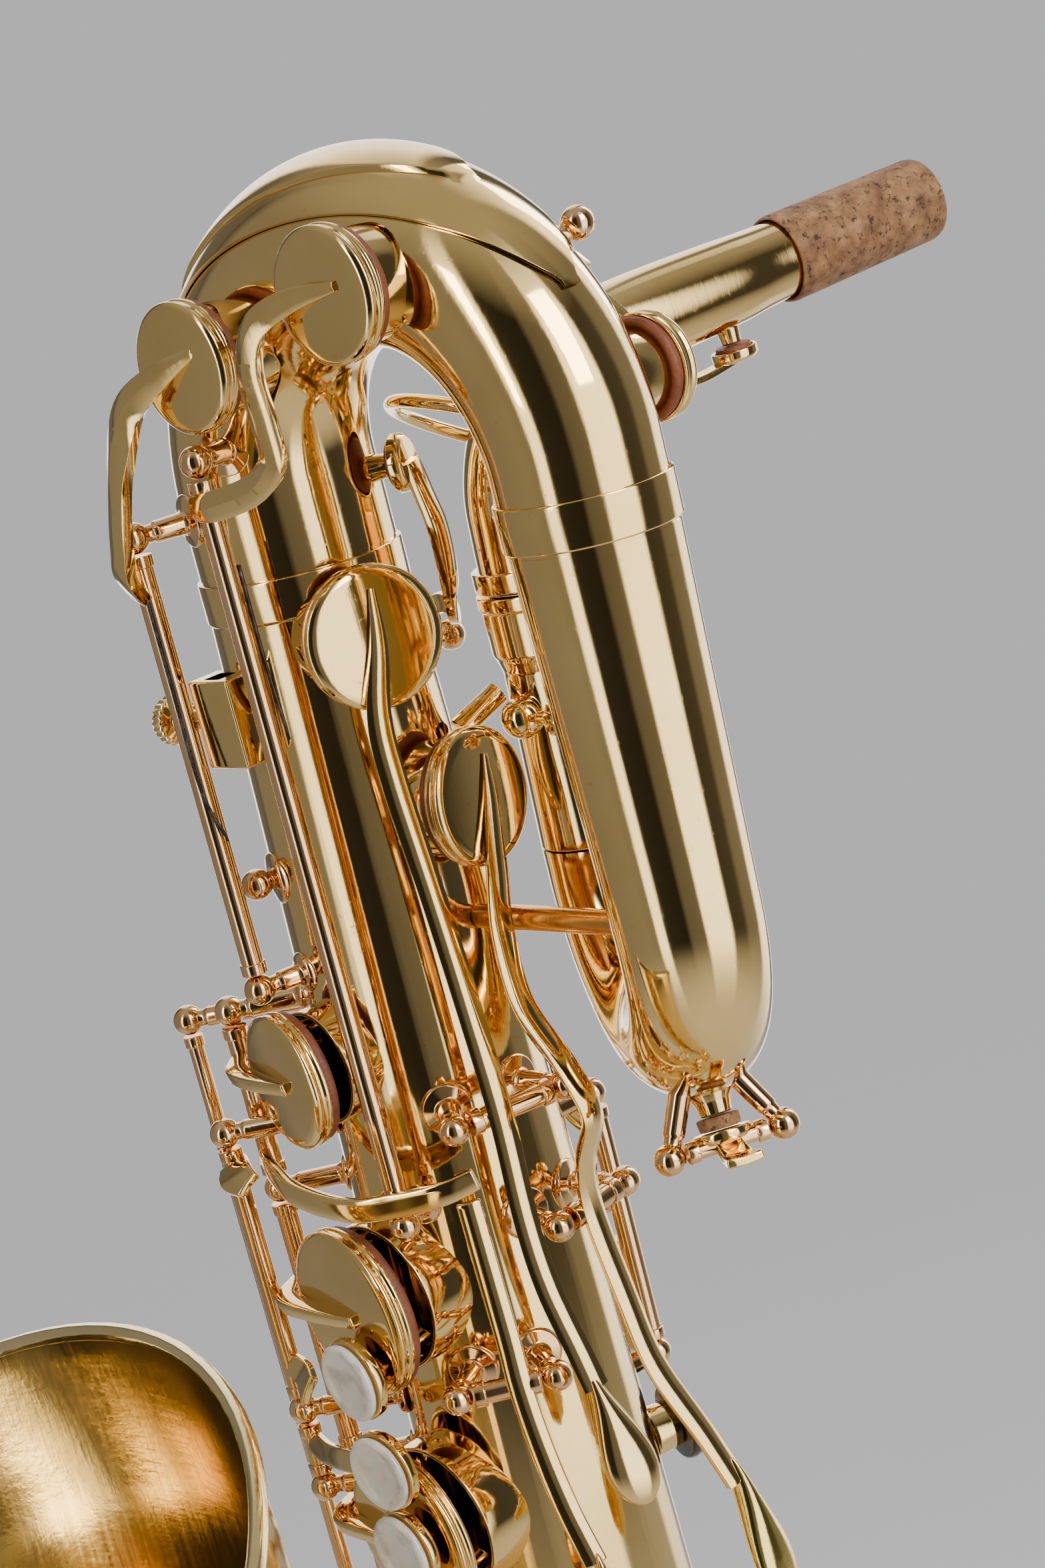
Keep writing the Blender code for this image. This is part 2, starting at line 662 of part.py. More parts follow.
def build_neck():
    top = RECEIVER_TOP + GAP
    places = [(0.0, top), (0.0, -6.0), (0.6, 3.0), (4.0, 12.0), (10.5, 20.0), (21.0, 25.8),
              (36.0, 28.8), (62.0, 31.0), (76.0, 32.4), (118.0, 36.1)]
    radii = [11.5, 11.2, 11.0, 10.8, 10.6, 10.4, 10.2, 9.5, 8.7, 8.0]
    path = [neck_point(*place) for place in places]
    shell = tube(path, radii, 12, WALL)
    collar = turned([(13.0, top + 4.5), (13.0, top), (10.4, top), (10.4, top + 4.5)],
                    spot(*RECEIVER, 0.0), UP, 18, closed=True)
    axis = (neck_point(98.0, 34.4) - neck_point(78.0, 32.6)).normalized()
    across = axis.cross(UP).normalized()
    below = axis.cross(across).normalized()
    if below.z > 0:
        below = -below
    pip_at = neck_point(60.0, 31.1) + below * 9.6 * MM
    pip = turned([(0.0, 3.4), (2.2, 3.4), (2.6, -0.7), (0.0, -0.7)], pip_at, below, 12)
    pivot = neck_point(36.0, 28.8) + below * 14.0 * MM
    shell = combine(shell, collar, "UNION")
    shell = combine(shell, pip, "UNION")
    for side in (-1.0, 1.0):
        place = pivot + across * side * 9.0 * MM
        foot = neck_point(36.0, 28.8) + (place - neck_point(36.0, 28.8)).normalized() * 9.8 * MM
        shell = combine(shell, post(foot, place), "UNION")
    seat = spot(*RECEIVER, RECEIVER_TOP)
    node("neck", [shell], LACQUER, seat)
    HINGES["neck"] = (seat, UP, 0.0)

    cork_path = [neck_point(76.5, 32.44), neck_point(119.0, 36.2)]
    cork_axis = (cork_path[1] - cork_path[0]).normalized()
    sleeve = [(9.15, 42.2), (9.5, 41.2), (9.9, 2.0), (9.6, 0.8), (9.1, 0.8), (8.45, 42.2)]
    cork = turned(sleeve, cork_path[0], cork_axis, 18, closed=True)
    node("neck_cork", [cork], CORK, seat)

    rod = cylinder(pivot - across * 5.2 * MM, pivot + across * 5.2 * MM, 1.8, 8)
    reach = pip_at + below * (3.4 + GAP + 2.0) * MM
    cup = turned([(0.0, 3.6), (4.6, 3.4), (5.2, 2.6), (5.2, 0.8), (4.4, 0.8), (4.4, 2.3),
                  (0.0, 2.3)], pip_at + below * (3.4 + GAP) * MM, below, 12)
    arm = strap([reach + below * 1.0 * MM, (reach + pivot) / 2 + below * 2.4 * MM,
                 pivot + below * 1.0 * MM, neck_point(26.0, 8.0), neck_point(20.0, 4.4)],
                [below] * 5, [4.0, 6.0, 7.0, 6.0, 6.0], 1.6)
    tilt = (UP * 0.86 + NECK_OUT * 0.5).normalized()
    hoop = ring(neck_point(0.0, 16.0), tilt, 23.0, 1.5, 14)
    node("neck_octave_key", [arm, rod, cup, hoop], LACQUER, pivot)
    HINGES["neck_octave_key"] = (pivot, -across, 0.0)
    disc = turned([(0.0, 1.9), (4.0, 1.9), (4.0, 0.0), (0.0, 0.0)],
                  pip_at + below * (3.4 + GAP) * MM, below, 12)
    node("neck_octave_pad", [disc], LEATHER, pivot)


def build_lower_tubes():
    start = spot(0.0, 0.0, -BODY_LENGTH)
    end = spot(0.0, -BOW_SPACING, -BODY_LENGTH)
    stub = UP * 4.0 * MM
    path = [start, *arc((start + end) / 2 - stub, start - stub, end - stub, -UP, 10), end]
    first = body_radius(-BODY_LENGTH)
    radii = [first + (BELL_SHAPE[0][1] - first) * i / 12 for i in range(13)]
    bow = tube(path, radii, 18, WALL)
    for corner in bow.data.vertices:
        if corner.co.z > start.z - 2.0 * MM:
            corner.co.z = start.z
    bands = []
    for centre, radius in ((start, first), (end, BELL_SHAPE[0][1])):
        bands.append(turned([(radius + 1.4, -GAP), (radius + 1.4, -9.0), (radius - 0.4, -9.5),
                             (radius - 0.4, -GAP)], centre, UP, 18, closed=True))
    node("bottom_bow", [bow, *bands], LACQUER)

    heights = [z for z, _ in BELL_SHAPE]
    path = [bell_centre(z) for z in heights]
    shell = tube(path, [radius for _, radius in BELL_SHAPE], 22, WALL)
    band = turned([(48.2, 14.0), (48.2, GAP), (46.3, GAP), (46.3, 14.0)], end, UP, 22, closed=True)
    shell = combine(shell, band, "UNION")
    holes = [(on_bell(phi, z, 0.0), heading(phi), radius, bell_radius(z))
             for phi, z, radius in BELL_HOLES.values()]
    shell = with_holes(shell, holes)
    run = (path[-1] - path[-2]).normalized()
    rim = turned([(BELL_RIM_R + 2.4, 0.6), (BELL_RIM_R + 2.4, -1.6), (BELL_RIM_R + 0.8, -2.6),
                  (BELL_RIM_R - 1.4, -1.0), (BELL_RIM_R - 0.6, 1.0), (BELL_RIM_R + 0.8, 1.6)],
                 path[-1], run, 22, closed=True)
    shell = combine(shell, rim, "UNION")
    for phi, z in BELL_POSTS:
        shell = combine(shell, post(on_bell(phi, z, 0.0), on_bell(phi, z, 13.0)), "UNION")
    node("bell", [shell], LACQUER)


def build_braces():
    start = spot(body_radius(BRACE_Z) + GAP, BRACE_Y, BRACE_Z)
    end = spot(LOOP_X - (LOOP_R + TAPER * BRACE_Z) - GAP - 1.0, BRACE_Y, BRACE_Z)
    node("loop_brace", [cylinder(start, end, 2.7, 10)], LACQUER)

    x, y = RECEIVER
    out = Vector((x, y, 0.0)).normalized()
    low = on_body(122.0, -43.4, 2.3)
    high = spot(x - out.x * 13.6, y - out.y * 13.6, -38.6)
    node("receiver_brace", [cylinder(low, high, 2.6, 10)], LACQUER)

    wall = body_radius(BELL_BRACE_Z)
    span = BOW_SPACING - wall - bell_radius(BELL_BRACE_Z) - 2 * GAP - 0.4
    middle = spot(0.0, -wall - GAP - 0.2 - span / 2, BELL_BRACE_Z)
    near, far = [cylinder(middle + FRONT * side * 11.0 * MM, middle + FRONT * side * span / 2 * MM,
                          3.4) for side in (-1.0, 1.0)]
    node("bell_brace", [ring(middle, UP, 12.5, 2.6), near, far], LACQUER)


def build_fittings():
    out = heading(LYRE_PHI)
    centre = on_body(LYRE_PHI, -27.0, GAP + 5.2)
    block = box(centre, (13.0, 8.6, 19.0), UP, side=out.cross(UP))
    slot = box(centre + out * 0.4 * MM, (5.4, 5.0, 30.0), UP, side=out.cross(UP))
    block = combine(block, slot, "DIFFERENCE")
    node("lyre_holder", [block], LACQUER)
    side = out.cross(UP)
    if side.x > 0:
        side = -side
    seat = centre + side * (6.5 + GAP) * MM
    screw = turned([(0.0, 11.0), (5.2, 10.6), (5.5, 9.6), (5.5, 8.0), (5.0, 7.2), (2.4, 6.6),
                    (2.4, 2.5), (1.8, 0.0), (0.0, 0.0)], seat, side, 12)
    node("lyre_screw", [screw], LACQUER, seat)
    HINGES["lyre_screw"] = (seat, side, 0.0)

    eye = spot(0.0, RING_Y, RING_Z)
    loop = ring(eye, Vector((1.0, 0.0, 0.0)), 8.2, 2.0)
    plate = box(spot(0.0, body_radius(RING_Z) + 1.6, RING_Z), (12.0, 1.8, 26.0))
    node("strap_ring", [loop, plate], LACQUER)

    rest = turned([(0.0, 4.4), (6.0, 4.4), (9.0, 3.0), (9.4, 1.5), (9.0, 0.0), (0.0, 0.0)],
                  on_body(THUMB_REST[0], THUMB_REST[1], 7.0 + GAP), heading(THUMB_REST[0]), 14)
    node("thumb_rest", [rest], BLACK)

    hook_z = -480.0
    back = body_radius(hook_z)
    points = [spot(0.0, back + 2.6, hook_z + 10.0), spot(0.0, back + 2.8, hook_z - 2.0),
              spot(2.0, back + 8.0, hook_z - 9.0), spot(6.0, back + 20.0, hook_z - 6.0),
              spot(10.0, back + 26.0, hook_z + 6.0)]
    faces = [Vector((0.0, 1.0, 0.0)), Vector((0.0, 1.0, -0.4)), Vector((0.0, 0.5, -1.0)),
             Vector((0.0, 0.6, -1.0)), Vector((0.0, 1.0, 0.0))]
    node("thumb_hook", [strap(points, faces, [12.0, 12.0, 13.0, 13.0, 9.0])], LACQUER)


# ---- keys ---------------------------------------------------------------------------------
HINGES = {}                     # node name: hinge point, axis, degrees it rests open
BELL_POSTS = [(-45.0, -655.0), (-45.0, -567.0), (-45.0, -480.0), (48.0, -745.0), (48.0, -655.0)]


def settle(item, name):
    """Turn a piece built closed to where it rests."""
    pivot, axis, rest = HINGES[name]
    if rest:
        item.data.transform(around(pivot, axis, rest))
    return item


def key_node(name, pieces, finish=LACQUER):
    """Weld a key, turn it to rest and put its origin on its hinge."""
    solid = pieces[0]
    for piece in pieces[1:]:
        solid = combine(solid, piece, "UNION")
    settle(solid, name)
    return node(name, [solid], finish, HINGES[name][0])


def rider(name, key, piece, finish):
    """A pad or pearl that moves with a key."""
    settle(piece, key)
    return node(name, [piece], finish, HINGES[key][0])


def hinge(name, start, end, opens_at, out, rest=0.0):
    """Record a key's hinge so that a positive turn lifts its cup (or lets it down if open)."""
    axis = (end - start).normalized()
    middle = (start + end) / 2
    if axis.cross(opens_at - middle).dot(out) < 0:
        axis = -axis
    HINGES[name] = (middle, axis, rest)


def palm_rod(name):
    z, first, last, height = PALM_RODS[name] if name in PALM_RODS else OCTAVE_PIVOT
    start = on_body(first, z, height)
    end = on_body(last, z, height)
    shrink = (end - start).normalized() * (BALL_R + GAP) * MM
    return start + shrink, end - shrink


def body_strap(places, widths, thickness=STRAP_T, count=2):
    """A strap through (degrees, z, height) places around the body, facing out."""
    points = [on_body(*place) for place in places]
    normals = [heading(place[0]) for place in places]
    return strap(points, normals, widths, thickness, count)


def build_palm_keys():
    straps = {
        "palm_f_key": [(72.5, -5.5, 11.9), (69.5, -17.0, 12.5), (63.0, -31.0, 12.6),
                       (62.5, -45.0, 12.2), (65.0, -70.0, 12.0), (66.5, -95.0, 12.6),
                       (67.0, -119.0, 13.7), (66.0, -142.0, 13.8), (66.4, -158.0, 15.8),
                       (68.5, -173.0, 20.6), (69.6, -180.0, 22.0)],
        "palm_e_flat_key": [(101.0, -46.5, 11.9), (97.0, -56.0, 12.5), (90.0, -69.0, 13.2),
                            (85.5, -83.0, 12.8), (85.0, -99.0, 13.6), (87.0, -113.0, 20.5),
                            (88.0, -124.0, 23.4), (88.0, -135.0, 17.5), (89.0, -147.0, 14.6),
                            (90.5, -168.0, 16.4), (92.5, -185.0, 18.2), (96.0, -202.0, 24.0),
                            (98.0, -214.0, 27.5)],
        "palm_d_key": [(50.0, -136.5, 9.0), (50.5, -152.0, 10.8), (51.0, -168.0, 13.0),
                       (51.0, -178.0, 14.2), (52.5, -192.0, 15.4), (55.0, -206.0, 18.0),
                       (58.0, -218.0, 21.5)],
    }
    touches = {"palm_f_key": ((71.0, -190.5, 23.6), (73.2, -207.0, 26.6), 34.0),
               "palm_e_flat_key": ((99.5, -226.0, 30.0), (100.0, -244.0, 33.0), 36.0),
               "palm_d_key": ((59.5, -230.0, 23.5), (60.5, -248.0, 25.5), 30.0)}
    for name, places in straps.items():
        start, end = palm_rod(name)
        if name in BODY_HOLES:
            phi, z, radius = BODY_HOLES[name]
            opens_at, out = on_body(phi, z, 0.0), heading(phi)
        else:
            opens_at, out = on_body(50.0, -136.0, 0.0), heading(50.0)
        hinge(name, start, end, opens_at, out)
        widths = [5.0] * len(places)
        if name in BODY_HOLES:
            widths[:3] = [0.8, 3.2, 4.6]
        middle, tip, length = touches[name]
        along = (on_body(*tip) - on_body(*middle)).normalized()
        up = heading(middle[0])
        pieces = [body_strap(places, widths, count=1), cylinder(start, end, ROD_R),
                  teardrop(on_body(*middle), along, up, length, 15.5, 6.4)]
        if name in BODY_HOLES:
            at = on_body(phi, z, CUP_LIFT)
            pieces.append(key_cup(at, out, radius))
            rider(name.replace("key", "pad"), name, pad(at, out, radius), LEATHER)
        key_node(name, pieces)


def build_high_keys():
    # high E: cup on the front of the bow, upright rod on the bell side
    _, _, out, radius = BOW_HOLES["high_e_key"]
    start = on_line(HIGH_E_LINE, -86.0 + BALL_R + GAP)
    end = on_line(HIGH_E_LINE, 14.0 - BALL_R - GAP)
    hinge("high_e_key", start, end, bow_crest("high_e_key", 0.0), out)
    at = bow_crest("high_e_key", CUP_LIFT)
    arm = strap([spot(24.0, -33.0, 49.5), spot(14.4, -34.3, 46.0), spot(4.5, -35.4, 40.6),
                 spot(-0.5, -37.2, 31.0), spot(-2.6, -39.2, 21.0), spot(-5.0, -39.6, 13.0),
                 spot(-6.8, -39.0, 8.6), spot(-9.4, -34.6, 3.0)],
                [FRONT, FRONT, FRONT, heading(-15), heading(-25), heading(-25), heading(-22),
                 heading(-20)], [0.8, 4.4, 6.6, 8.0, 8.4, 8.4, 7.6, 6.5], 2.6, 1)
    key_node("high_e_key", [cylinder(start, end, ROD_R), arm, key_cup(at, out, radius)])
    rider("high_e_pad", "high_e_key", pad(at, out, radius), LEATHER)

    # high F sharp: cup further round the bow, rod down to a cross bar above the palm D key
    _, _, out, radius = BOW_HOLES["high_f_sharp_key"]
    start = on_line(HIGH_F_SHARP_LINE, -139.0 + BALL_R + GAP)
    end = on_line(HIGH_F_SHARP_LINE, 28.0 - BALL_R - GAP)
    hinge("high_f_sharp_key", start, end, bow_crest("high_f_sharp_key", 0.0), out)
    at = bow_crest("high_f_sharp_key", CUP_LIFT)
    arm = strap([spot(68.0, -31.0, 57.2), spot(57.0, -31.9, 56.2), spot(48.0, -33.6, 52.8),
                 spot(44.0, -34.8, 45.0), spot(44.4, -35.0, 34.0), spot(43.6, -35.0, 26.6),
                 spot(36.0, -35.0, 22.0), spot(22.0, -34.6, 19.6), spot(14.5, -33.4, 19.2)],
                [FRONT] * 9, [0.8, 3.4, 4.6, 5.0, 5.2, 5.2, 5.0, 5.0, 3.6], 3.4)
    bar = body_strap([(54.5, -130.4, 13.8), (43.0, -131.9, 13.6), (28.0, -133.0, 12.6),
                      (10.0, -133.2, 14.0), (-13.0, -131.2, 15.0), (-27.0, -128.4, 16.0),
                      (-36.0, -126.6, 16.4)],
                     [4.6, 5.0, 5.4, 5.2, 5.4, 5.6, 5.4], 2.4)
    key_node("high_f_sharp_key", [cylinder(start, end, ROD_R), arm, bar, key_cup(at, out, radius)])
    rider("high_f_sharp_pad", "high_f_sharp_key", pad(at, out, radius), LEATHER)

    # back F: on the player's side of the bow
    _, _, out, radius = BOW_HOLES["back_f_key"]
    at = bow_crest("back_f_key", CUP_LIFT)
    pivot = bow_surface(*BACK_PIVOT, 9.0)
    side = (bow_crest("back_f_key", 9.0) - pivot).normalized()
    axis = out.cross(side).normalized()
    start = pivot - axis * 11.0 * MM
    end = pivot - axis * (BALL_R + GAP) * MM
    hinge("back_f_key", start, end, bow_crest("back_f_key", 0.0), out)
    inner = pivot - axis * 8.0 * MM
    arm = strap([bow_crest("back_f_key", CUP_LIFT + CUP_H + 0.2), (at + inner) / 2 + out * 5 * MM,
                 inner + out * 1.4 * MM, inner - axis * 6.0 * MM + out * 1.0 * MM],
                [out] * 4, [3.0, 5.0, 6.0, 7.0], 2.2)
    key_node("back_f_key", [cylinder(start, end, ROD_R), arm, key_cup(at, out, radius)])
    rider("back_f_pad", "back_f_key", pad(at, out, radius), LEATHER)


def build_octave():
    # body octave key: its pad closes the pip on the upper bow's leg
    start, end = palm_rod("octave")
    phi, z = OCTAVE_PIP
    out = heading(phi)
    hinge("body_octave_key", start, end, leg_point(phi, z, 0.0), out)
    at = leg_point(phi, z, 4.0 + GAP)
    cup = turned([(0.0, 4.0), (5.4, 3.8), (6.2, 2.8), (6.2, 0.9), (5.4, 0.9), (5.4, 2.6),
                  (0.0, 2.6)], at, out, 14)
    places = [(118.0, 15.0, 8.2), (119.0, 8.0, 9.2), (119.0, 0.0, 10.4), (120.0, -10.0, 10.0),
              (124.0, -17.0, 8.4), (140.0, -20.0, 7.4), (158.0, -20.5, 9.4), (175.0, -20.5, 11.4),
              (188.5, -24.0, 11.4), (188.5, -29.0, 11.2)]
    arm = strap([leg_point(*place) for place in places], [heading(place[0]) for place in places],
                [7.0, 7.8, 8.6, 8.6, 7.0, 5.0, 4.4, 4.4, 4.4, 4.4], 1.8, 1)
    key_node("body_octave_key", [cylinder(start, end, ROD_R), arm, cup])
    disc = turned([(0.0, 2.2), (5.0, 2.2), (5.0, 0.0), (0.0, 0.0)], at, out, 12)
    rider("body_octave_pad", "body_octave_key", disc, LEATHER)

    # thumb lever on an upright rod at the player's side
    start, end = line_rod(OCTAVE_LINE, -139.5, -205.5)
    hinge("thumb_octave_lever", start, end, on_body(150.0, -160.0, 0.0), heading(150.0))
    arm = body_strap([(171.5, -190.0, 12.2), (178.0, -191.0, 12.6), (184.0, -196.0, 13.0),
                      (187.0, -207.0, 13.0)], [5.0, 6.0, 8.0, 9.0])
    lift = body_strap([(171.5, -148.0, 12.2), (180.0, -145.0, 11.4), (187.0, -134.0, 9.0),
                       (188.0, -122.0, 8.0)], [5.0, 5.0, 5.0, 5.0])
    key_node("thumb_octave_lever", [cylinder(start, end, ROD_R), arm, lift])


def line_rod(line, top, bottom):
    """A hinge tube on an upright line between two posts."""
    clear = BALL_R + GAP
    return on_line(line, top - clear), on_line(line, bottom + clear)


def pearl_parts(centre, out, radius=9.3):
    """The brass holder of a pearl and the pearl."""
    holder = turned([(0.0, 0.0), (radius, -0.2), (radius, -2.4), (radius - 1.6, -3.6), (0.0, -3.6)],
                    centre, out, 14)
    pearl = turned([(0.0, 1.2), (radius - 2.0, 1.9), (radius - 0.5, 1.5), (radius - 0.5, GAP),
                    (0.0, GAP)], centre, out, 16)
    return holder, pearl


def build_stack_keys():
    # name, hinge line, top and bottom post, degrees open, pearl (x, y, z) or None
    stack = [
        ("c_key", STACK_LINE, -94.5, -137.0, 6.0, None),
        ("b_key", STACK_LINE, -137.0, -205.0, 6.0, (3.8, -170.5)),
        ("a_key", STACK_LINE, -205.0, -240.0, 4.5, (6.0, -211.0)),
        ("g_key", STACK_LINE, -240.0, -292.0, 6.0, (4.0, -262.0)),
        ("f_key", LOWER_LINE, -316.0, -372.0, 8.0, (4.0, -342.0)),
        ("e_key", LOWER_LINE, -372.0, -434.0, 8.0, (4.0, -400.0)),
        ("d_key", LOWER_LINE, -434.0, -498.0, 8.0, (4.0, -462.0)),
        ("low_c_key", LOWER_LINE, -600.0, -680.0, 7.0, None),
    ]
    for name, line, top, bottom, rest, pearl_at in stack:
        phi, z, radius = BODY_HOLES[name]
        out = heading(phi)
        start, end = line_rod(line, top, bottom)
        hinge(name, start, end, on_body(phi, z, 0.0), out, rest)
        at = on_body(phi, z, CUP_LIFT)
        root = on_line(line, z)
        tip = on_body(phi, z, CUP_LIFT + CUP_H + 0.6)
        across = Vector((-out.y, out.x, 0.0))
        edge = tip - across * (radius + 2.0) * MM
        points = [root + (edge - root) * 0.12, edge + out * 0.6 * MM,
                  tip - across * radius * 0.5 * MM + out * 0.5 * MM, tip + across * 2.0 * MM]
        arm = strap(points, [UP * 1.0] * 4, [3.4, 4.6, 4.2, 1.2], 3.6)
        pieces = [cylinder(start, end, ROD_R), arm, key_cup(at, out, radius)]
        if pearl_at:
            height = body_radius(z) + CUP_LIFT + CUP_H + 5.4
            centre = spot(pearl_at[0], -height, pearl_at[1])
            holder, pearl = pearl_parts(centre, FRONT)
            stem = cylinder(centre - FRONT * 6.6 * MM, centre - FRONT * 2.0 * MM, 3.0)
            pieces += [stem, holder]
            if name in ("b_key", "a_key", "g_key"):
                rider(name.replace("key", "pearl"), name, pearl, PEARL)
            else:
                bpy.data.objects.remove(pearl, do_unlink=True)
        key_node(name, pieces)
        if name in ("c_key", "b_key"):
            rider(name.replace("key", "pad"), name, pad(at, out, radius), LEATHER)


def build_front_levers():
    # front F: a short lever whose upper arm presses the end of the high F sharp key's cross bar
    start, end = line_rod(FRONT_F_LINE, -120.0, -188.0)
    hinge("front_f_key", start, end, spot(0.0, -40.0, -168.0), -FRONT)
    tilt = Vector((0.2, -1.0, 0.35))
    arm = strap([on_line(FRONT_F_LINE, -127.5), spot(-26.5, -40.4, -128.0),
                 spot(-20.5, -42.0, -129.0)], [tilt] * 3, [4.4, 5.0, 4.6], 2.0)
    lower = strap([on_line(FRONT_F_LINE, -176.0), spot(-25.0, -38.6, -177.0),
                   spot(-18.5, -43.0, -178.0)], [tilt] * 3, [5.0, 6.0, 7.0], 2.2)
    key_node("front_f_key", [cylinder(start, end, 2.2), arm, lower])

    # bis key between the B and A cups
    start, end = line_rod(FRONT_F_LINE, -188.0, -207.5)
    hinge("bis_key", start, end, spot(0.0, -40.0, -190.0), FRONT)
    holder, pearl = pearl_parts(spot(5.5, -47.4, -191.0), FRONT, 9.0)
    arm = strap([on_line(FRONT_F_LINE, -195.5), spot(-22.0, -40.5, -195.0),
                 spot(-10.0, -44.4, -192.5), spot(1.0, -45.6, -191.2)],
                [tilt] * 4, [5.0] * 4, 2.2)
    key_node("bis_key", [cylinder(start, end, 2.2), arm, holder])
    rider("bis_pearl", "bis_key", pearl, PEARL)


def build_side_keys():
    # long thin rod to the right hand, and the two trill keys on the player's right
    start, end = line_rod(SIDE_LINE, -96.5, -432.0)
    hinge("side_e_key", start, end, spot(-60.0, 10.0, -400.0), Vector((0.0, 1.0, 0.0)))
    touch_at = on_line((-78.0, 62.0), -398.0)
    run = on_line(SIDE_LINE, -398.0)
    arm = strap([run, (run + touch_at) / 2, touch_at], [heading(-60.0)] * 3, [6.0, 7.0, 8.0], 2.2)
    touch = teardrop(touch_at, UP, heading(-75.0), 40.0, 12.0, 5.0)
    key_node("side_e_key", [cylinder(start, end, 1.8, 8), arm, touch])

    for name, top, bottom, low in (("side_c_key", -130.0, -178.0, -170.0),
                                   ("side_b_flat_key", -178.0, -228.0, -186.0)):
        phi, z, radius = BODY_HOLES[name]
        out = heading(phi)
        start, end = line_rod(SIDE_KEY_LINE, top, bottom)
        hinge(name, start, end, on_body(phi, z, 0.0), out)
        at = on_body(phi, z, CUP_LIFT)
        root = on_line(SIDE_KEY_LINE, z)
        tip = on_body(phi, z, CUP_LIFT + CUP_H + 0.4)
        arm = strap([root, on_body(-138.0, z, 15.5), on_body(-125.0, z, 14.5), tip],
                    [UP] * 4, [3.4, 4.0, 4.0, 1.6], 4.0)
        tail = strap([on_line(SIDE_KEY_LINE, low), on_line((-166.0, 43.0), low),
                      on_line((-172.0, 46.0), low)], [UP] * 3, [3.0, 3.0, 3.0], 9.0)
        key_node(name, [cylinder(start, end, ROD_R), arm, key_cup(at, out, radius), tail])


def build_low_keys():
    for name, line, top, bottom in (("g_sharp_key", G_SHARP_LINE, -272.0, -326.0),
                                    ("low_e_flat_key", LOW_LINE, -510.0, -580.0)):
        phi, z, radius = BODY_HOLES[name]
        out = heading(phi)
        start, end = line_rod(line, top, bottom)
        hinge(name, start, end, on_body(phi, z, 0.0), out)
        at = on_body(phi, z, CUP_LIFT)
        root = on_line(line, z)
        tip = on_body(phi, z, CUP_LIFT + CUP_H + 0.6)
        across = (root - tip - out * (root - tip).dot(out)).normalized()
        middle = tip + across * radius * 0.96 * MM + out * 0.8 * MM
        arm = strap([root, middle, tip], [UP] * 3, [3.6, 4.4, 2.4], 4.6, 1)
        key_node(name, [cylinder(start, end, ROD_R), arm, key_cup(at, out, radius)])

    clear = (BALL_R + GAP) * MM
    for name, post_phi, top, bottom in (("low_b_key", -45.0, -567.0, -655.0),
                                        ("low_b_flat_key", -45.0, -480.0, -567.0),
                                        ("low_a_key", 48.0, -655.0, -745.0)):
        phi, z, radius = BELL_HOLES[name]
        out = heading(phi)
        high, low = on_bell(post_phi, top, 13.0), on_bell(post_phi, bottom, 13.0)
        run = (low - high).normalized()
        start, end = high + run * clear, low - run * clear
        hinge(name, start, end, on_bell(phi, z, 0.0), out, 6.0)
        at = on_bell(phi, z, CUP_LIFT)
        root = start + run * ((on_bell(0.0, z, 0.0).z - start.z) / run.z)
        tip = on_bell(phi, z, CUP_LIFT + CUP_H + 0.6)
        middle = on_bell((phi + post_phi) / 2, z, 17.5)
        arm = strap([root, middle, tip], [UP] * 3, [3.6, 4.6, 2.4], 6.0)
        key_node(name, [cylinder(start, end, ROD_R), arm, key_cup(at, out, radius)])


def build_water_key(nipple_at, out, across, back):
    """The sprung water key under the loop, and its cork."""
    pivot = nipple_at + out * 9.5 * MM - back * 2.0 * MM
    half = across * (12.5 - BALL_R - GAP) * MM
    HINGES["water_key"] = (pivot, -across, 0.0)
    seat = nipple_at + out * (4.2 + GAP) * MM
    cork = turned([(0.0, 2.6), (4.4, 2.6), (4.6, 0.0), (0.0, 0.0)], seat, out, 14)
    lid = turned([(0.0, 6.0), (5.6, 5.4), (6.2, 4.4), (6.2, 2.9), (0.0, 2.9)], seat, out, 16)
    tail = strap([seat + out * 4.4 * MM, seat + out * 6.0 * MM - back * 8.0 * MM,
                  seat + out * 4.6 * MM - back * 15.0 * MM],
                 [out] * 3, [6.0, 6.5, 8.0], 2.0)
    rod = cylinder(pivot - half, pivot + half, 1.9, 8)
    lift = cylinder(pivot, seat + out * 5.0 * MM, 2.2, 8)
    key_node("water_key", [lid, tail, lift, rod])
    rider("water_key_cork", "water_key", cork, CORK)


def build_all():
    build_body()
    build_upper_bow()
    build_bow_guard()
    nipple_at, out, across, back, foot = build_loop()
    build_receiver(foot)
    build_neck()
    build_lower_tubes()
    build_braces()
    build_fittings()
    build_palm_keys()
    build_high_keys()
    build_octave()
    build_stack_keys()
    build_front_levers()
    build_side_keys()
    build_low_keys()
    build_water_key(nipple_at, out, across, back)


build_all()
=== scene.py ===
"""The baritone saxophone's looks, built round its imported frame.

Lengths below are in millimetres from the top joint of the body tube, where the upper bow is
soldered on: x to the player's left, y towards the player, z up.  spot() turns them into metres
in the object's own frame, whose origin is the middle of the strap ring's eye.
"""

import json
from math import cos, pi, radians, sin

import bmesh
import bpy
from mathutils import Matrix, Vector

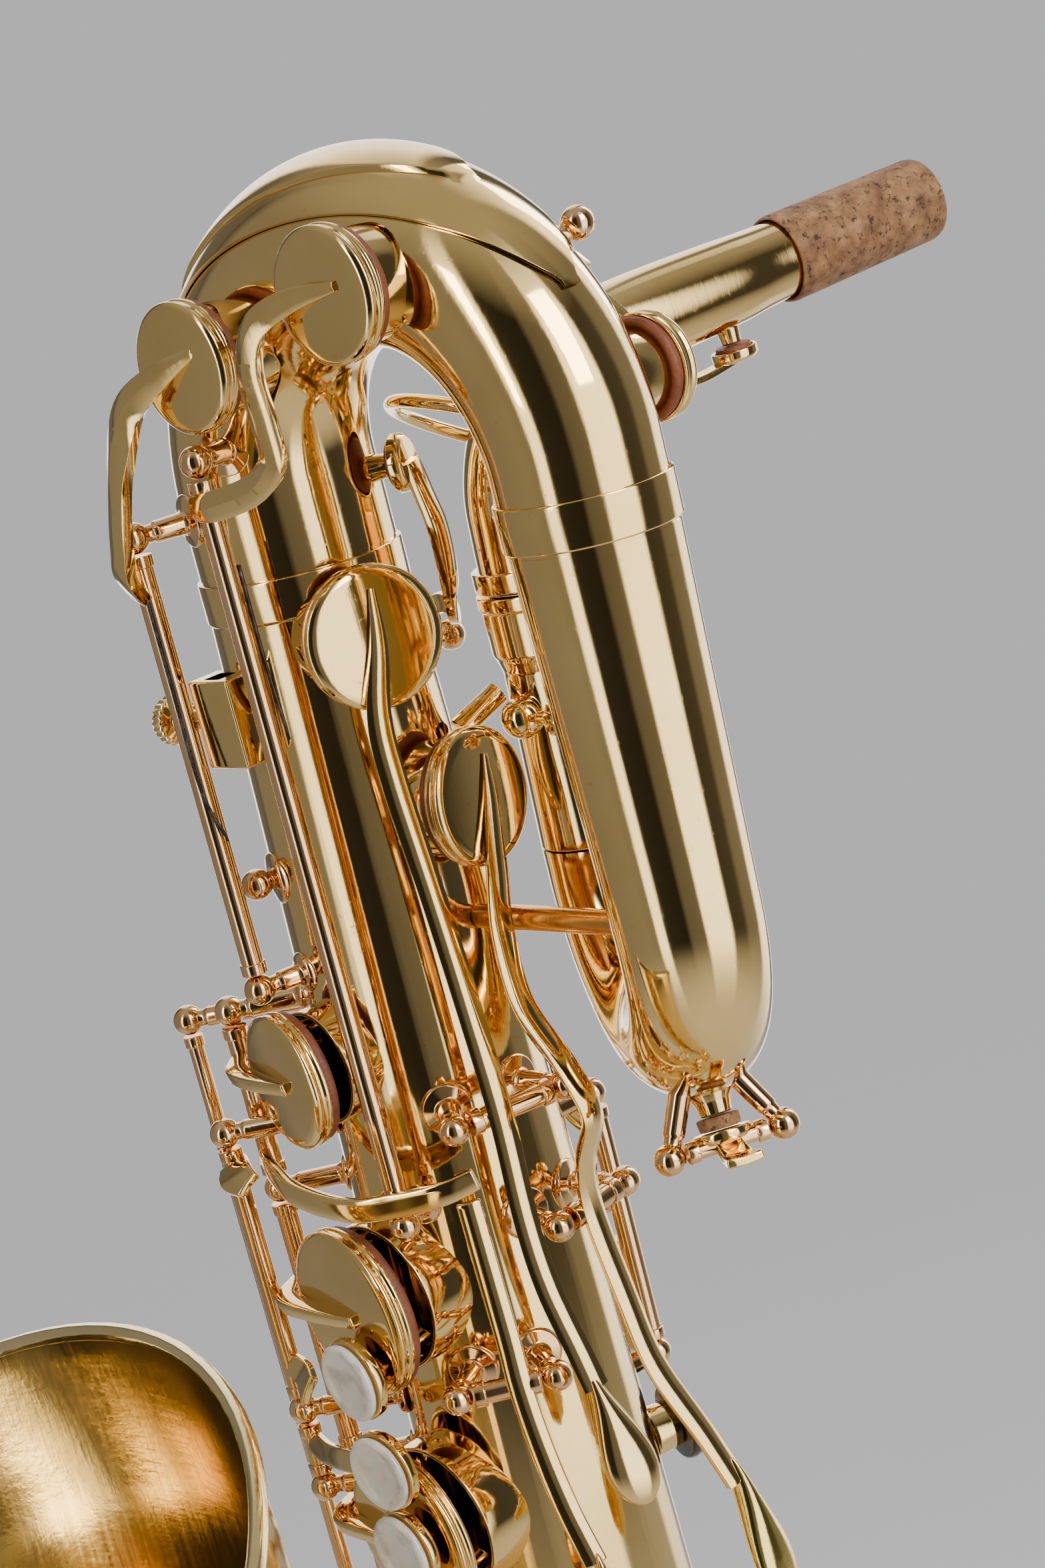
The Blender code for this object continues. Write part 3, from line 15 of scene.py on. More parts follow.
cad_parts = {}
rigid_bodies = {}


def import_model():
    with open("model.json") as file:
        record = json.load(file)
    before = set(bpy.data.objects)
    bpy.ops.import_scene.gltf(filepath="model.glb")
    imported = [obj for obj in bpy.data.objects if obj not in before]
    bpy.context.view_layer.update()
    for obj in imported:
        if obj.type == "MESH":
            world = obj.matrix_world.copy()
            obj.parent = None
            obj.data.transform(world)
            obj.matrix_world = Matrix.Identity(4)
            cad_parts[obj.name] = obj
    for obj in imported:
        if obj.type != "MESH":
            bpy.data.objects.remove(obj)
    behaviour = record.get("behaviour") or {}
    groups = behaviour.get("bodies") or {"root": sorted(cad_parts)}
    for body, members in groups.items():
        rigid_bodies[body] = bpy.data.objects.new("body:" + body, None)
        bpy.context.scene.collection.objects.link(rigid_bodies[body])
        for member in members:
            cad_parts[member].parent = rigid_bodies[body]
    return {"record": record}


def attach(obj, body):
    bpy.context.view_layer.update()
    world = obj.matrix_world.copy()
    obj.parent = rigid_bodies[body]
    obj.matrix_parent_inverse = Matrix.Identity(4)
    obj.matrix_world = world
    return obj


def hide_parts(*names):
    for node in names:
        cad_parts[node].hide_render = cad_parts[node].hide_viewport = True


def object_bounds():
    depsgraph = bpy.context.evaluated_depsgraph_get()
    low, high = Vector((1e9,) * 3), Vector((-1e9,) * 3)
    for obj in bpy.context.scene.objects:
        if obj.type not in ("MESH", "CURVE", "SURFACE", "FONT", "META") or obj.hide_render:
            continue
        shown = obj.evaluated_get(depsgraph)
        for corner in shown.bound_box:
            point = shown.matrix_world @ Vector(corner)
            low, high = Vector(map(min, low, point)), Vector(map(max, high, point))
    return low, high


for old in list(bpy.data.objects):
    bpy.data.objects.remove(old, do_unlink=True)
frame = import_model()
CAD_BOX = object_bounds()
BODY_OF = {member: body for body, members in frame["record"]["behaviour"]["bodies"].items()
           for member in members}

# ---- driving dimensions, mm -------------------------------------------------------------
MM = 0.001
GAP = 0.35                      # clearance between neighbouring pieces
WALL = 0.9                      # brass tube wall
EDGE_ROUND = 0.45               # rounding of turned edges

BODY_TOP_R = 21.4               # outer radius of the body tube at its top joint
TAPER = 0.0245                  # radius gained for each mm along the bore
BODY_LENGTH = 800.0
BOW_SPACING = 150.0             # body axis to bell axis
LOOP_X = 88.0                   # body axis to the front leg of the loop
LOOP_R = 17.0                   # outer radius of the loop at its top joint
LOOP_LENGTH = 78.0
LOOP_STUB = 4.0                 # straight end of the loop below the receiver
RECEIVER = (34.0, 33.0)         # axis of the narrow tube that carries the neck
RECEIVER_TOP = -17.0
NECK_SWING = radians(165)       # heading of the neck, from straight ahead of the bell
BELL_RIM_R = 86.0

RING_Z = -300.0                 # strap ring, below the top joint
RING_REACH = 12.0               # ring eye to the tube surface

CHIMNEY_H = 5.0                 # tone hole chimney, above the crest of the tube
PAD_T = 2.6
CUP_H = 6.4
CUP_LIFT = CHIMNEY_H + GAP      # underside of a closed pad
ARM_LIFT = CUP_LIFT + CUP_H + 0.6    # an arm where it crosses a cup
BALL_R = 3.4                    # ball on a post
ROD_R = 2.4
STRAP_T = 2.4
ROUND_STEPS = 12                # base facets around tone holes

# ---- how fine the meshes are -------------------------------------------------------------
FINER = 4                       # facets made for each one asked for, in round pieces
BALL_FINER = 3
STRAP_FINER = 6
MOST_FACETS = 96
MOST_ROD_FACETS = 64
MERGE = 0.002                   # mm within which vertices are one
SHARP = radians(38)             # edges sharper than this aren't shaded smooth
BEVEL_FROM = radians(40)
BEVEL_SEGMENTS = 3


def body_radius(z):
    """Outer radius of the body tube z mm above its top joint (z is negative below it)."""
    return BODY_TOP_R - TAPER * z


RING_Y = body_radius(RING_Z) + RING_REACH


def spot(x, y, z):
    """A point given from the top joint, in metres in the object's frame."""
    return Vector((x, y - RING_Y, z - RING_Z)) * MM


def trail(*places):
    """spot() for each (x, y, z)."""
    return [spot(*place) for place in places]


def heading(phi):
    """Unit vector at phi degrees around the body: 0 is the bell side, 90 the player's left."""
    angle = radians(phi)
    return Vector((sin(angle), -cos(angle), 0.0))


def on_body(phi, z, height):
    """A point `height` mm off the body tube's surface."""
    out = heading(phi) * (body_radius(z) + height)
    return spot(out.x, out.y, z)


# ---- scene and materials ----------------------------------------------------------------
COLLECTION = bpy.data.collections.new("baritone_saxophone_looks")
bpy.context.scene.collection.children.link(COLLECTION)


def add(tree, kind, **values):
    """A shader node; each keyword is an input's name, with _ for a space, and its value."""
    return preset(tree.nodes.new("ShaderNode" + kind), **values)


def preset(made, **values):
    for name, value in values.items():
        made.inputs[name.replace("_", " ")].default_value = value
    return made


def new_finish(name):
    made = bpy.data.materials.new("finish_" + name)
    made.use_nodes = True
    return made, made.node_tree, made.node_tree.nodes["Principled BSDF"]


def grain(tree, scale, detail=4.0, stretch=(1.0, 1.0, 1.0), rough=0.55):
    """Noise in the piece's own space; scale is in cells for each metre."""
    place = add(tree, "TexCoord")
    sized = add(tree, "Mapping", Scale=stretch)
    made = add(tree, "TexNoise", Scale=scale, Detail=detail, Roughness=rough)
    tree.links.new(place.outputs["Object"], sized.inputs["Vector"])
    tree.links.new(sized.outputs["Vector"], made.inputs["Vector"])
    return made.outputs["Fac"]


def spots(tree, scale):
    """Distance from the middle of rounded cells, `scale` of them for each metre."""
    place = add(tree, "TexCoord")
    made = add(tree, "TexVoronoi", Scale=scale)
    tree.links.new(place.outputs["Object"], made.inputs["Vector"])
    return made.outputs["Distance"]


def ramp(tree, value, stops):
    """Colours or greys along a value; stops are (place, colour)."""
    made = add(tree, "ValToRGB")
    line = made.color_ramp
    while len(line.elements) < len(stops):
        line.elements.new(0.5)
    for element, (place, colour) in zip(line.elements, stops):
        element.position = place
        element.color = (*colour, 1.0) if isinstance(colour, tuple) else (colour,) * 3 + (1.0,)
    tree.links.new(value, made.inputs["Fac"])
    return made.outputs["Color"]


def mix(tree, share, first, second, blend="MIX"):
    """The first colour, and the second where share is 1."""
    made = add(tree, "Mix")
    made.data_type = "RGBA"
    made.blend_type = blend
    if isinstance(share, float):
        made.inputs["Factor"].default_value = share
    else:
        tree.links.new(share, made.inputs["Factor"])
    for socket, value in ((made.inputs["A"], first), (made.inputs["B"], second)):
        for candidate in made.inputs:
            if candidate.name == socket.name and candidate.type == "RGBA":
                if isinstance(value, tuple):
                    candidate.default_value = (*value, 1.0)
                else:
                    tree.links.new(value, candidate)
    return next(output for output in made.outputs if output.type == "RGBA")


def bump(tree, shader, heights):
    """Chain of (height, distance in mm, strength) bumps into the shader's normal."""
    last = None
    for height, distance, strength in heights:
        made = add(tree, "Bump", Distance=distance * MM, Strength=strength)
        tree.links.new(height, made.inputs["Height"])
        if last is not None:
            tree.links.new(last, made.inputs["Normal"])
        last = made.outputs["Normal"]
    tree.links.new(last, shader.inputs["Normal"])


def brass(name, light, deep, stain, roughness, streaks=1.0):
    """Lacquered brass: cloudy colour, brown stains and pits, fine lengthwise scratches."""
    made, tree, shader = new_finish(name)
    cloud = grain(tree, 26.0, 5.0)
    body = mix(tree, ramp(tree, cloud, [(0.36, 0.0), (0.66, 1.0)]), light, deep)
    dirt = ramp(tree, grain(tree, 420.0, 6.0, rough=0.7), [(0.60, 0.0), (0.74, 0.75)])
    patch = ramp(tree, grain(tree, 60.0, 3.0), [(0.5, 0.0), (0.72, 1.0)])
    worn = mix(tree, 1.0, dirt, patch, "MULTIPLY")
    tree.links.new(mix(tree, worn, body, stain), shader.inputs["Base Color"])
    fine = grain(tree, 900.0, 3.0, (1.0, 1.0, 0.05))
    matt = mix(tree, 0.5, ramp(tree, fine, [(0.35, roughness * 0.7), (0.7, roughness * 1.7)]),
               ramp(tree, cloud, [(0.3, roughness * 0.8), (0.75, roughness * 1.5)]))
    dull = mix(tree, worn, matt, (0.5, 0.5, 0.5))
    tree.links.new(dull, shader.inputs["Roughness"])
    preset(shader, Metallic=1.0, Coat_Weight=0.08, Coat_Roughness=0.08)
    ripple = grain(tree, 75.0, 2.0)
    layers = [(ripple, 0.30, 0.06 * streaks), (fine, 0.04, 0.16 * streaks), (dirt, 0.04, 0.10)]
    if streaks > 1.5:
        for stretch in ((0.05, 1.0, 1.0), (1.0, 0.06, 0.8)):
            layers.append((grain(tree, 650.0, 2.0, stretch, 0.6), 0.05, 0.14 * streaks))
    bump(tree, shader, layers)
    return made


def leather_finish():
    made, tree, shader = new_finish("pad_leather")
    cloud = grain(tree, 140.0, 5.0)
    body = ramp(tree, cloud, [(0.3, (0.10, 0.024, 0.010)), (0.55, (0.19, 0.050, 0.018)),
                              (0.8, (0.27, 0.09, 0.036))])
    tree.links.new(body, shader.inputs["Base Color"])
    pores = spots(tree, 1500.0)
    tree.links.new(ramp(tree, pores, [(0.0, 0.42), (0.6, 0.62)]), shader.inputs["Roughness"])
    bump(tree, shader, [(pores, 0.12, 0.5), (cloud, 0.3, 0.4)])
    return made


def cork_finish():
    made, tree, shader = new_finish("cork")
    cloud = grain(tree, 220.0, 6.0, (1.0, 1.0, 1.0), 0.7)
    body = ramp(tree, cloud, [(0.32, (0.12, 0.050, 0.018)), (0.5, (0.27, 0.130, 0.050)),
                              (0.7, (0.42, 0.225, 0.095))])
    pits = ramp(tree, grain(tree, 520.0, 5.0, (1.0, 1.0, 1.0), 0.75), [(0.57, 0.0), (0.64, 1.0)])
    tree.links.new(mix(tree, pits, body, (0.05, 0.022, 0.010)), shader.inputs["Base Color"])
    preset(shader, Roughness=0.78)
    bump(tree, shader, [(pits, -0.35, 0.8), (cloud, 0.4, 0.5)])
    return made


def pearl_finish():
    made, tree, shader = new_finish("mother_of_pearl")
    cloud = grain(tree, 160.0, 3.0, (1.0, 2.2, 1.0))
    body = ramp(tree, cloud, [(0.30, (0.46, 0.44, 0.41)), (0.48, (0.76, 0.71, 0.66)),
                              (0.60, (0.68, 0.74, 0.72)), (0.75, (0.84, 0.76, 0.77))])
    tree.links.new(body, shader.inputs["Base Color"])
    preset(shader, Roughness=0.16, Coat_Weight=0.8, Coat_Roughness=0.05)
    bump(tree, shader, [(cloud, 0.2, 0.1)])
    return made


def black_finish():
    made, tree, shader = new_finish("black_plastic")
    cloud = grain(tree, 300.0, 4.0)
    tree.links.new(ramp(tree, cloud, [(0.4, 0.012), (0.7, 0.03)]), shader.inputs["Base Color"])
    tree.links.new(ramp(tree, cloud, [(0.4, 0.18), (0.7, 0.34)]), shader.inputs["Roughness"])
    bump(tree, shader, [(cloud, 0.05, 0.2)])
    return made


def steel_finish():
    made, tree, shader = new_finish("blued_steel")
    cloud = grain(tree, 400.0, 3.0)
    tree.links.new(ramp(tree, cloud, [(0.4, (0.03, 0.03, 0.04)), (0.7, (0.10, 0.09, 0.09))]),
                   shader.inputs["Base Color"])
    preset(shader, Metallic=1.0, Roughness=0.3)
    return made


LACQUER = brass("lacquered_brass", (0.86, 0.60, 0.24), (0.78, 0.53, 0.19), (0.20, 0.08, 0.03),
                0.06)
ROD_BRASS = brass("rod_brass", (0.84, 0.53, 0.27), (0.70, 0.41, 0.17), (0.16, 0.08, 0.04), 0.07)
DEEP_BRASS = brass("deep_brass", (0.78, 0.40, 0.12), (0.62, 0.28, 0.07), (0.12, 0.05, 0.02), 0.2)
WORN_BRASS = brass("worn_brass", (0.86, 0.68, 0.22), (0.72, 0.50, 0.12), (0.10, 0.06, 0.02),
                   0.11, 3.0)
BELL_BRASS = brass("bell_brass", (0.84, 0.66, 0.34), (0.76, 0.57, 0.26), (0.24, 0.13, 0.06),
                   0.11, 2.0)
LEATHER = leather_finish()
CORK = cork_finish()
PEARL = pearl_finish()
BLACK = black_finish()
STEEL = steel_finish()

# ---- modelling helpers ------------------------------------------------------------------
def link(name, data):
    made = bpy.data.objects.new(name, data)
    COLLECTION.objects.link(made)
    return made


def from_grid(name, grid):
    """A new object from a bmesh, which it frees."""
    mesh = bpy.data.meshes.new(name)
    grid.to_mesh(mesh)
    grid.free()
    return link(name, mesh)


def aim(item, centre, direction, side=None):
    """Put an object at centre with its Z along direction and its X near side."""
    item.matrix_world = Matrix.Translation(centre) @ facing(direction, side).to_4x4()


def thicken(item, thickness, offset=0.0):
    shell = item.modifiers.new("thickness", "SOLIDIFY")
    shell.thickness = thickness * MM
    shell.offset = offset
    return shell


def bake(item):
    """Turn an object with modifiers or a curve into a plain mesh in the object's frame."""
    bpy.context.view_layer.update()
    graph = bpy.context.evaluated_depsgraph_get()
    mesh = bpy.data.meshes.new_from_object(item.evaluated_get(graph))
    mesh.transform(item.matrix_world)
    grid = bmesh.new()
    grid.from_mesh(mesh)
    bmesh.ops.remove_doubles(grid, verts=grid.verts, dist=MERGE * MM)
    bmesh.ops.dissolve_degenerate(grid, edges=grid.edges, dist=MERGE * MM)
    grid.to_mesh(mesh)
    grid.free()
    name = item.name
    bpy.data.objects.remove(item, do_unlink=True)
    return link(name, mesh)


def facing(direction, side=None):
    """Rotation whose Z points along direction and whose X lies near side."""
    z_axis = direction.normalized()
    hint = Vector(side) if side is not None else Vector((0.0, 0.0, 1.0))
    if abs(hint.normalized().dot(z_axis)) > 0.99:
        hint = Vector((1.0, 0.0, 0.0))
    x_axis = (hint - z_axis * hint.dot(z_axis)).normalized()
    y_axis = z_axis.cross(x_axis)
    return Matrix((x_axis, y_axis, z_axis)).transposed()


def soften(profile, closed):
    """Round the corners of a turned outline so that its edges catch the light."""
    out = []
    last = len(profile) - 1
    for index, here in enumerate(profile):
        if not closed and index in (0, last):
            out.append(here)
            continue
        corner = Vector(here)
        before = Vector(profile[index - 1]) - corner
        after = Vector(profile[(index + 1) % len(profile)]) - corner
        reach = min(EDGE_ROUND, before.length * 0.4, after.length * 0.4)
        if reach < 0.02 or before.angle(-after, 0.0) < radians(4):
            out.append(here)
            continue
        start = corner + before.normalized() * reach
        end = corner + after.normalized() * reach
        for t in (0.0, 0.33, 0.67, 1.0):
            point = start * (1 - t) ** 2 + corner * 2 * t * (1 - t) + end * t * t
            out.append((point.x, point.y))
    return out


def turned(profile, at, direction, steps=16, closed=False):
    """A Screw of (radius, height) points in mm, listed down the outer side."""
    steps = min(steps * FINER, MOST_FACETS)
    profile = soften(profile, closed)
    grid = bmesh.new()
    points = [grid.verts.new((r * MM, 0.0, h * MM)) for r, h in profile]
    for first, second in zip(points, points[1:]):
        grid.edges.new((first, second))
    if closed:
        grid.edges.new((points[-1], points[0]))
    item = from_grid("turned", grid)
    aim(item, at, direction)
    screw = item.modifiers.new("turn", "SCREW")
    screw.steps = steps
    screw.render_steps = steps
    screw.use_merge_vertices = True
    screw.merge_threshold = 0.00001
    return bake(item)


def cylinder(start, end, radius, sides=8):
    """A rod between two points given in metres; its radius is in mm."""
    run = end - start
    grid = bmesh.new()
    sides = min(sides * FINER, MOST_ROD_FACETS)
    bmesh.ops.create_cone(grid, cap_ends=True, segments=sides, radius1=radius * MM,
                          radius2=radius * MM, depth=run.length)
    item = from_grid("rod", grid)
    aim(item, (start + end) / 2, run)
    return bake(item)


def rod(start, end, radius, sides=12):
    """A hinge tube with a collar at each end."""
    run = (end - start).normalized()
    pieces = [cylinder(start, end, radius, sides)]
    for place, way in ((start, run), (end, -run)):
        pieces.append(turned([(radius, 2.6), (radius + 0.45, 2.4), (radius + 0.45, 0.0),
                              (radius, 0.0)], place, way, 8, closed=True))
    return painted(join(pieces), ROD_BRASS)


def ball(centre, radius, segments=12):
    grid = bmesh.new()
    segments *= BALL_FINER
    bmesh.ops.create_uvsphere(grid, u_segments=segments, v_segments=segments // 2 + 2,
                              radius=radius * MM)
    item = from_grid("ball", grid)
    item.location = centre
    return bake(item)


def box(centre, size, direction=Vector((0.0, 0.0, 1.0)), side=None):
    """A block; size is in mm along side, across it, and along direction."""
    grid = bmesh.new()
    bmesh.ops.create_cube(grid, size=1.0)
    bmesh.ops.scale(grid, verts=grid.verts, vec=Vector(size) * MM)
    item = from_grid("block", grid)
    aim(item, centre, direction, side)
    bevel(item, 0.6)
    return bake(item)


def bevel(item, width):
    """Round the hard edges of a piece."""
    edge = item.modifiers.new("edges", "BEVEL")
    edge.width = width * MM
    edge.segments = BEVEL_SEGMENTS
    edge.limit_method = "ANGLE"
    edge.angle_limit = BEVEL_FROM


def ring(centre, axis, radius, thickness, steps=16, sides=6):
    """A closed round ring; its radii in mm."""
    profile = []
    sides *= BALL_FINER
    for step in range(sides):
        angle = -2 * pi * step / sides
        profile.append((radius + thickness * cos(angle), thickness * sin(angle)))
    return turned(profile, centre, axis, steps, closed=True)


def tube(path, radii, sides=16, wall=0.0):
    """A bevelled curve through path, hollow when it has a wall; radii in mm."""
    sides = min(sides * FINER, MOST_FACETS)
    curve = bpy.data.curves.new("tube", "CURVE")
    curve.dimensions = "3D"
    curve.bevel_depth = MM
    curve.bevel_resolution = (sides - 4) // 2
    curve.use_fill_caps = wall == 0.0
    line = curve.splines.new("POLY")
    line.points.add(len(path) - 1)
    for point, place, radius in zip(line.points, path, radii):
        point.co = (*place, 1.0)
        point.radius = radius
    item = bake(link("tube", curve))
    if wall == 0.0:
        return item
    thicken(item, wall, -1.0).use_even_offset = True
    return bake(item)


def smooth(points, count):
    """Catmull-Rom points through the given ones, `count` for each stretch."""
    padded = [points[0] * 2 - points[1], *points, points[-1] * 2 - points[-2]]
    out = []
    for a, b, c, d in zip(padded, padded[1:], padded[2:], padded[3:]):
        for step in range(count):
            t = step / count
            out.append(0.5 * (2 * b + (c - a) * t + (2 * a - 5 * b + 4 * c - d) * t * t
                              + (3 * b - a - 3 * c + d) * t ** 3))
    out.append(points[-1].copy())
    return out


def strap(points, normals, widths, thickness=STRAP_T, count=2, crown=0.35):
    """A flat bar along points whose broad face looks along normals."""
    count *= STRAP_FINER
    path = smooth(points, count)
    faces = smooth(normals, count)
    spans = smooth([Vector((w, 0.0, 0.0)) for w in widths], count)
    grid = bmesh.new()
    bmesh.ops.create_grid(grid, x_segments=len(path) - 1, y_segments=4, size=1.0)
    last = len(path) - 1
    for vertex in grid.verts:
        index = round((vertex.co.x + 1.0) * last / 2.0)
        run = path[min(index + 1, last)] - path[max(index - 1, 0)]
        across = faces[index].cross(run).normalized()
        half = spans[index].x * MM / 2.0
        rise = crown * min(1.0, spans[index].x / 5.0) * (1.0 - abs(vertex.co.y))
        vertex.co = path[index] + across * half * vertex.co.y + faces[index] * rise * MM
    item = from_grid("strap", grid)
    thicken(item, thickness)
    bevel(item, min(0.55, thickness * 0.28))
    return bake(item)


def teardrop(centre, along, up, length, width, thickness):
    """A smooth finger touch, pointed at its start and round at its end."""
    grid = bmesh.new()
    bmesh.ops.create_uvsphere(grid, u_segments=40, v_segments=28, radius=1.0)
    for vertex in grid.verts:
        place = vertex.co
        swell = 0.62 + 0.38 * sin(pi / 2 * place.z)
        vertex.co = Vector((place.x * width * swell, place.y * thickness,
                            place.z * length)) * MM / 2
    item = from_grid("touch", grid)
    aim(item, centre, along, up.cross(along))
    return bake(item)


def post(foot, centre, flange=True):
    """A turned post from a foot point on the tube to the middle of its ball."""
    run = centre - foot
    height = run.length / MM
    foot_r = 5.8 if flange else 4.6
    profile = [(BALL_R * sin(radians(turn)), height + BALL_R * cos(radians(turn)))
               for turn in range(0, 150, 12)]
    profile += [(1.9, height - BALL_R * 0.88), (1.9, height - BALL_R - 0.9)]
    if height > 7.0:
        profile += [(2.3, height - BALL_R - 1.6), (2.4, 2.0)]
    profile += [(2.8, 1.2), (foot_r - 0.4, 0.7), (foot_r, 0.1), (foot_r, -1.2), (0.0, -1.2)]
    return painted(turned(profile, foot, run, steps=8), ROD_BRASS)


def key_cup(at, out, radius):
    """A pad cup with a rolled lip, hollow below, its underside at the given point."""
    profile = [(0.0, CUP_H + 0.45), (radius * 0.5, CUP_H + 0.32), (radius - 2.4, CUP_H),
               (radius - 1.0, CUP_H - 0.3), (radius - 0.1, CUP_H - 1.0), (radius, CUP_H - 1.6),
               (radius - 0.4, CUP_H - 2.2), (radius - 0.4, 3.4), (radius, 3.0), (radius, 2.2),
               (radius - 0.7, 2.0), (radius - 0.9, PAD_T + 2 * GAP), (0.0, PAD_T + 2 * GAP)]
    return turned(profile, at, out, 20)


def pad(at, out, radius):
    """The leather pad inside a cup, with the ring that its tone hole presses into it."""
    edge = radius - 0.5
    seat = radius - 2.7
    profile = [(0.0, PAD_T), (edge - 0.6, PAD_T), (edge - 0.1, PAD_T - 0.7), (edge, 0.6),
               (edge - 0.7, -0.15),
               (seat + 0.8, 0.0), (seat, 0.45), (seat - 0.8, 0.0), (radius * 0.32, 0.0),
               (radius * 0.3, -0.5), (0.0, -0.6)]
    return turned(profile, at, out, 16)


def join(items):
    """One object from several; a piece painted with its own finish keeps it."""
    grid = bmesh.new()
    finishes = [None]
    for item in items:
        first = len(grid.faces)
        grid.from_mesh(item.data)
        grid.faces.ensure_lookup_table()
        own = list(item.data.materials) or [None]
        for finish in own:
            if finish not in finishes:
                finishes.append(finish)
        places = [finishes.index(finish) for finish in own]
        for face in grid.faces[first:]:
            face.material_index = places[min(face.material_index, len(places) - 1)]
    for item in items:
        bpy.data.objects.remove(item, do_unlink=True)
    made = from_grid("joined", grid)
    for finish in finishes:
        made.data.materials.append(finish)
    return made


def painted(item, finish):
    item.data.materials.clear()
    item.data.materials.append(finish)
    return item


def carve(base, other):
    """Take the other piece's space out of the base."""
    cut = base.modifiers.new("cut", "BOOLEAN")
    cut.operation = "DIFFERENCE"
    cut.solver = "EXACT"
    cut.object = other
    done = bake(base)
    bpy.data.objects.remove(other, do_unlink=True)
    return done


def node(name, pieces, finish, pivot=None):
    """The detailed piece that stands for one CAD node."""
    made = join(pieces)
    made.name = "look_" + name
    made.data.name = made.name
    made.data.materials[0] = finish
    made.data.shade_smooth()
    made.data.set_sharp_from_angle(angle=SHARP)
    if pivot is not None:
        made.data.transform(Matrix.Translation(-pivot))
        made.location = pivot
        bpy.context.view_layer.update()
    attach(made, BODY_OF[name])
    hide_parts(name)


def arc(centre, start, finish, turn, count):
    """Points of a circular arc from start to finish; turn is the direction it sets off in."""
    first = start - centre
    reach = turn.normalized() * first.length
    sweep = first.angle(finish - centre)
    if abs(sweep - pi) < 0.01:
        sweep = pi
    return [centre + first * cos(sweep * i / count) + reach * sin(sweep * i / count)
            for i in range(count + 1)]


def around(pivot, axis, angle):
    return (Matrix.Translation(pivot) @ Matrix.Rotation(radians(angle), 4, axis)
            @ Matrix.Translation(-pivot))


# ---- where the tubes run ------------------------------------------------------------------
UP = Vector((0.0, 0.0, 1.0))
FRONT = Vector((0.0, -1.0, 0.0))
BOW_RISE = 16.0                 # straight part of the upper bow above the joints
BOW_R = LOOP_X / 2
NECK_OUT = Vector((sin(NECK_SWING), -cos(NECK_SWING), 0.0))
RIM_CENTRE = (-3.0, -167.0, -179.0)
BELL_FOOT = -BODY_LENGTH
# (height, outer radius) up the bell, then its flare
BELL_SHAPE = [(BELL_FOOT + GAP, 46.8), (-700.0, 49.2), (-600.0, 51.7), (-480.0, 54.6),
              (-360.0, 57.6), (-290.0, 60.0), (-250.0, 63.0), (-224.0, 67.0), (-206.0, 72.5),
              (-192.0, 79.0), (-179.0, BELL_RIM_R)]
BELL_BEND_Z = -300.0            # the bell leans forward above this height


def neck_point(reach, z):
    """A point of the neck, `reach` mm out from the receiver's axis."""
    return spot(RECEIVER[0] + NECK_OUT.x * reach, RECEIVER[1] + NECK_OUT.y * reach, z)


def bow_point(angle):
    """Centre line of the upper bow, from 0 above the body to 180 above the loop."""
    turn = radians(angle)
    return spot(BOW_R * (1 - cos(turn)), 0.0, BOW_RISE + BOW_R * sin(turn))


def bow_radius(angle):
    return BODY_TOP_R + (LOOP_R - BODY_TOP_R) * angle / 180.0


def bow_surface(angle, out, height):
    return bow_point(angle) + out * (bow_radius(angle) + height) * MM


def bow_crest(name, height):
    """A point off the bow where one of its keys sits."""
    x, z, out, _ = BOW_HOLES[name]
    radius = bow_radius(180.0 * x / LOOP_X)
    return spot(x, 0.0, z) + out * (radius + height) * MM


def leg_point(phi, z, height):
    """A point off the straight part of the upper bow, above the body."""
    out = heading(phi) * (BODY_TOP_R + height)
    return spot(out.x, out.y, z)


def bell_centre(z):
    """Axis of the bell, leaning forward in its upper part."""
    share = max(0.0, (z - BELL_BEND_Z) / (RIM_CENTRE[2] - BELL_BEND_Z))
    return spot(RIM_CENTRE[0] * share, -BOW_SPACING + (RIM_CENTRE[1] + BOW_SPACING) * share ** 4, z)


def bell_radius(z):
    for (low, first), (high, second) in zip(BELL_SHAPE, BELL_SHAPE[1:]):
        if z <= high:
            return first + (second - first) * (z - low) / (high - low)
    return BELL_RIM_R


def on_bell(phi, z, height):
    return bell_centre(z) + heading(phi) * (bell_radius(z) + height) * MM


# ---- where the keys are -------------------------------------------------------------------
# tone holes on the body tube: degrees around it, z, cup radius
BODY_HOLES = {
    "palm_f_key": (70.5, -15.5, 15.0),
    "palm_e_flat_key": (97.0, -55.0, 14.8),
    "c_key": (-7.0, -105.5, 15.2),
    "b_key": (-2.0, -159.0, 19.4),
    "a_key": (-2.0, -213.0, 20.0),
    "g_key": (-2.0, -266.0, 20.4),
    "g_sharp_key": (66.0, -300.0, 19.0),
    "f_key": (0.0, -345.0, 23.5),
    "e_key": (0.0, -403.0, 25.0),
    "d_key": (0.0, -466.0, 27.0),
    "side_c_key": (-110.0, -150.0, 15.0),
    "side_b_flat_key": (-110.0, -205.0, 16.0),
    "low_e_flat_key": (48.0, -545.0, 27.0),
    "low_c_key": (0.0, -640.0, 30.0),
}
BELL_HOLES = {
    "low_b_key": (-90.0, -610.0, 31.0),
    "low_b_flat_key": (-90.0, -525.0, 32.0),
    "low_a_key": (0.0, -700.0, 34.0),
}
BOW_HOLES = {                   # x, z, side of the bow, cup radius
    "high_e_key": (18.2, 46.6, FRONT, 13.4),
    "high_f_sharp_key": (62.5, 55.6, FRONT, 13.4),
    "back_f_key": (87.0, 26.0, -FRONT, 11.0),
}

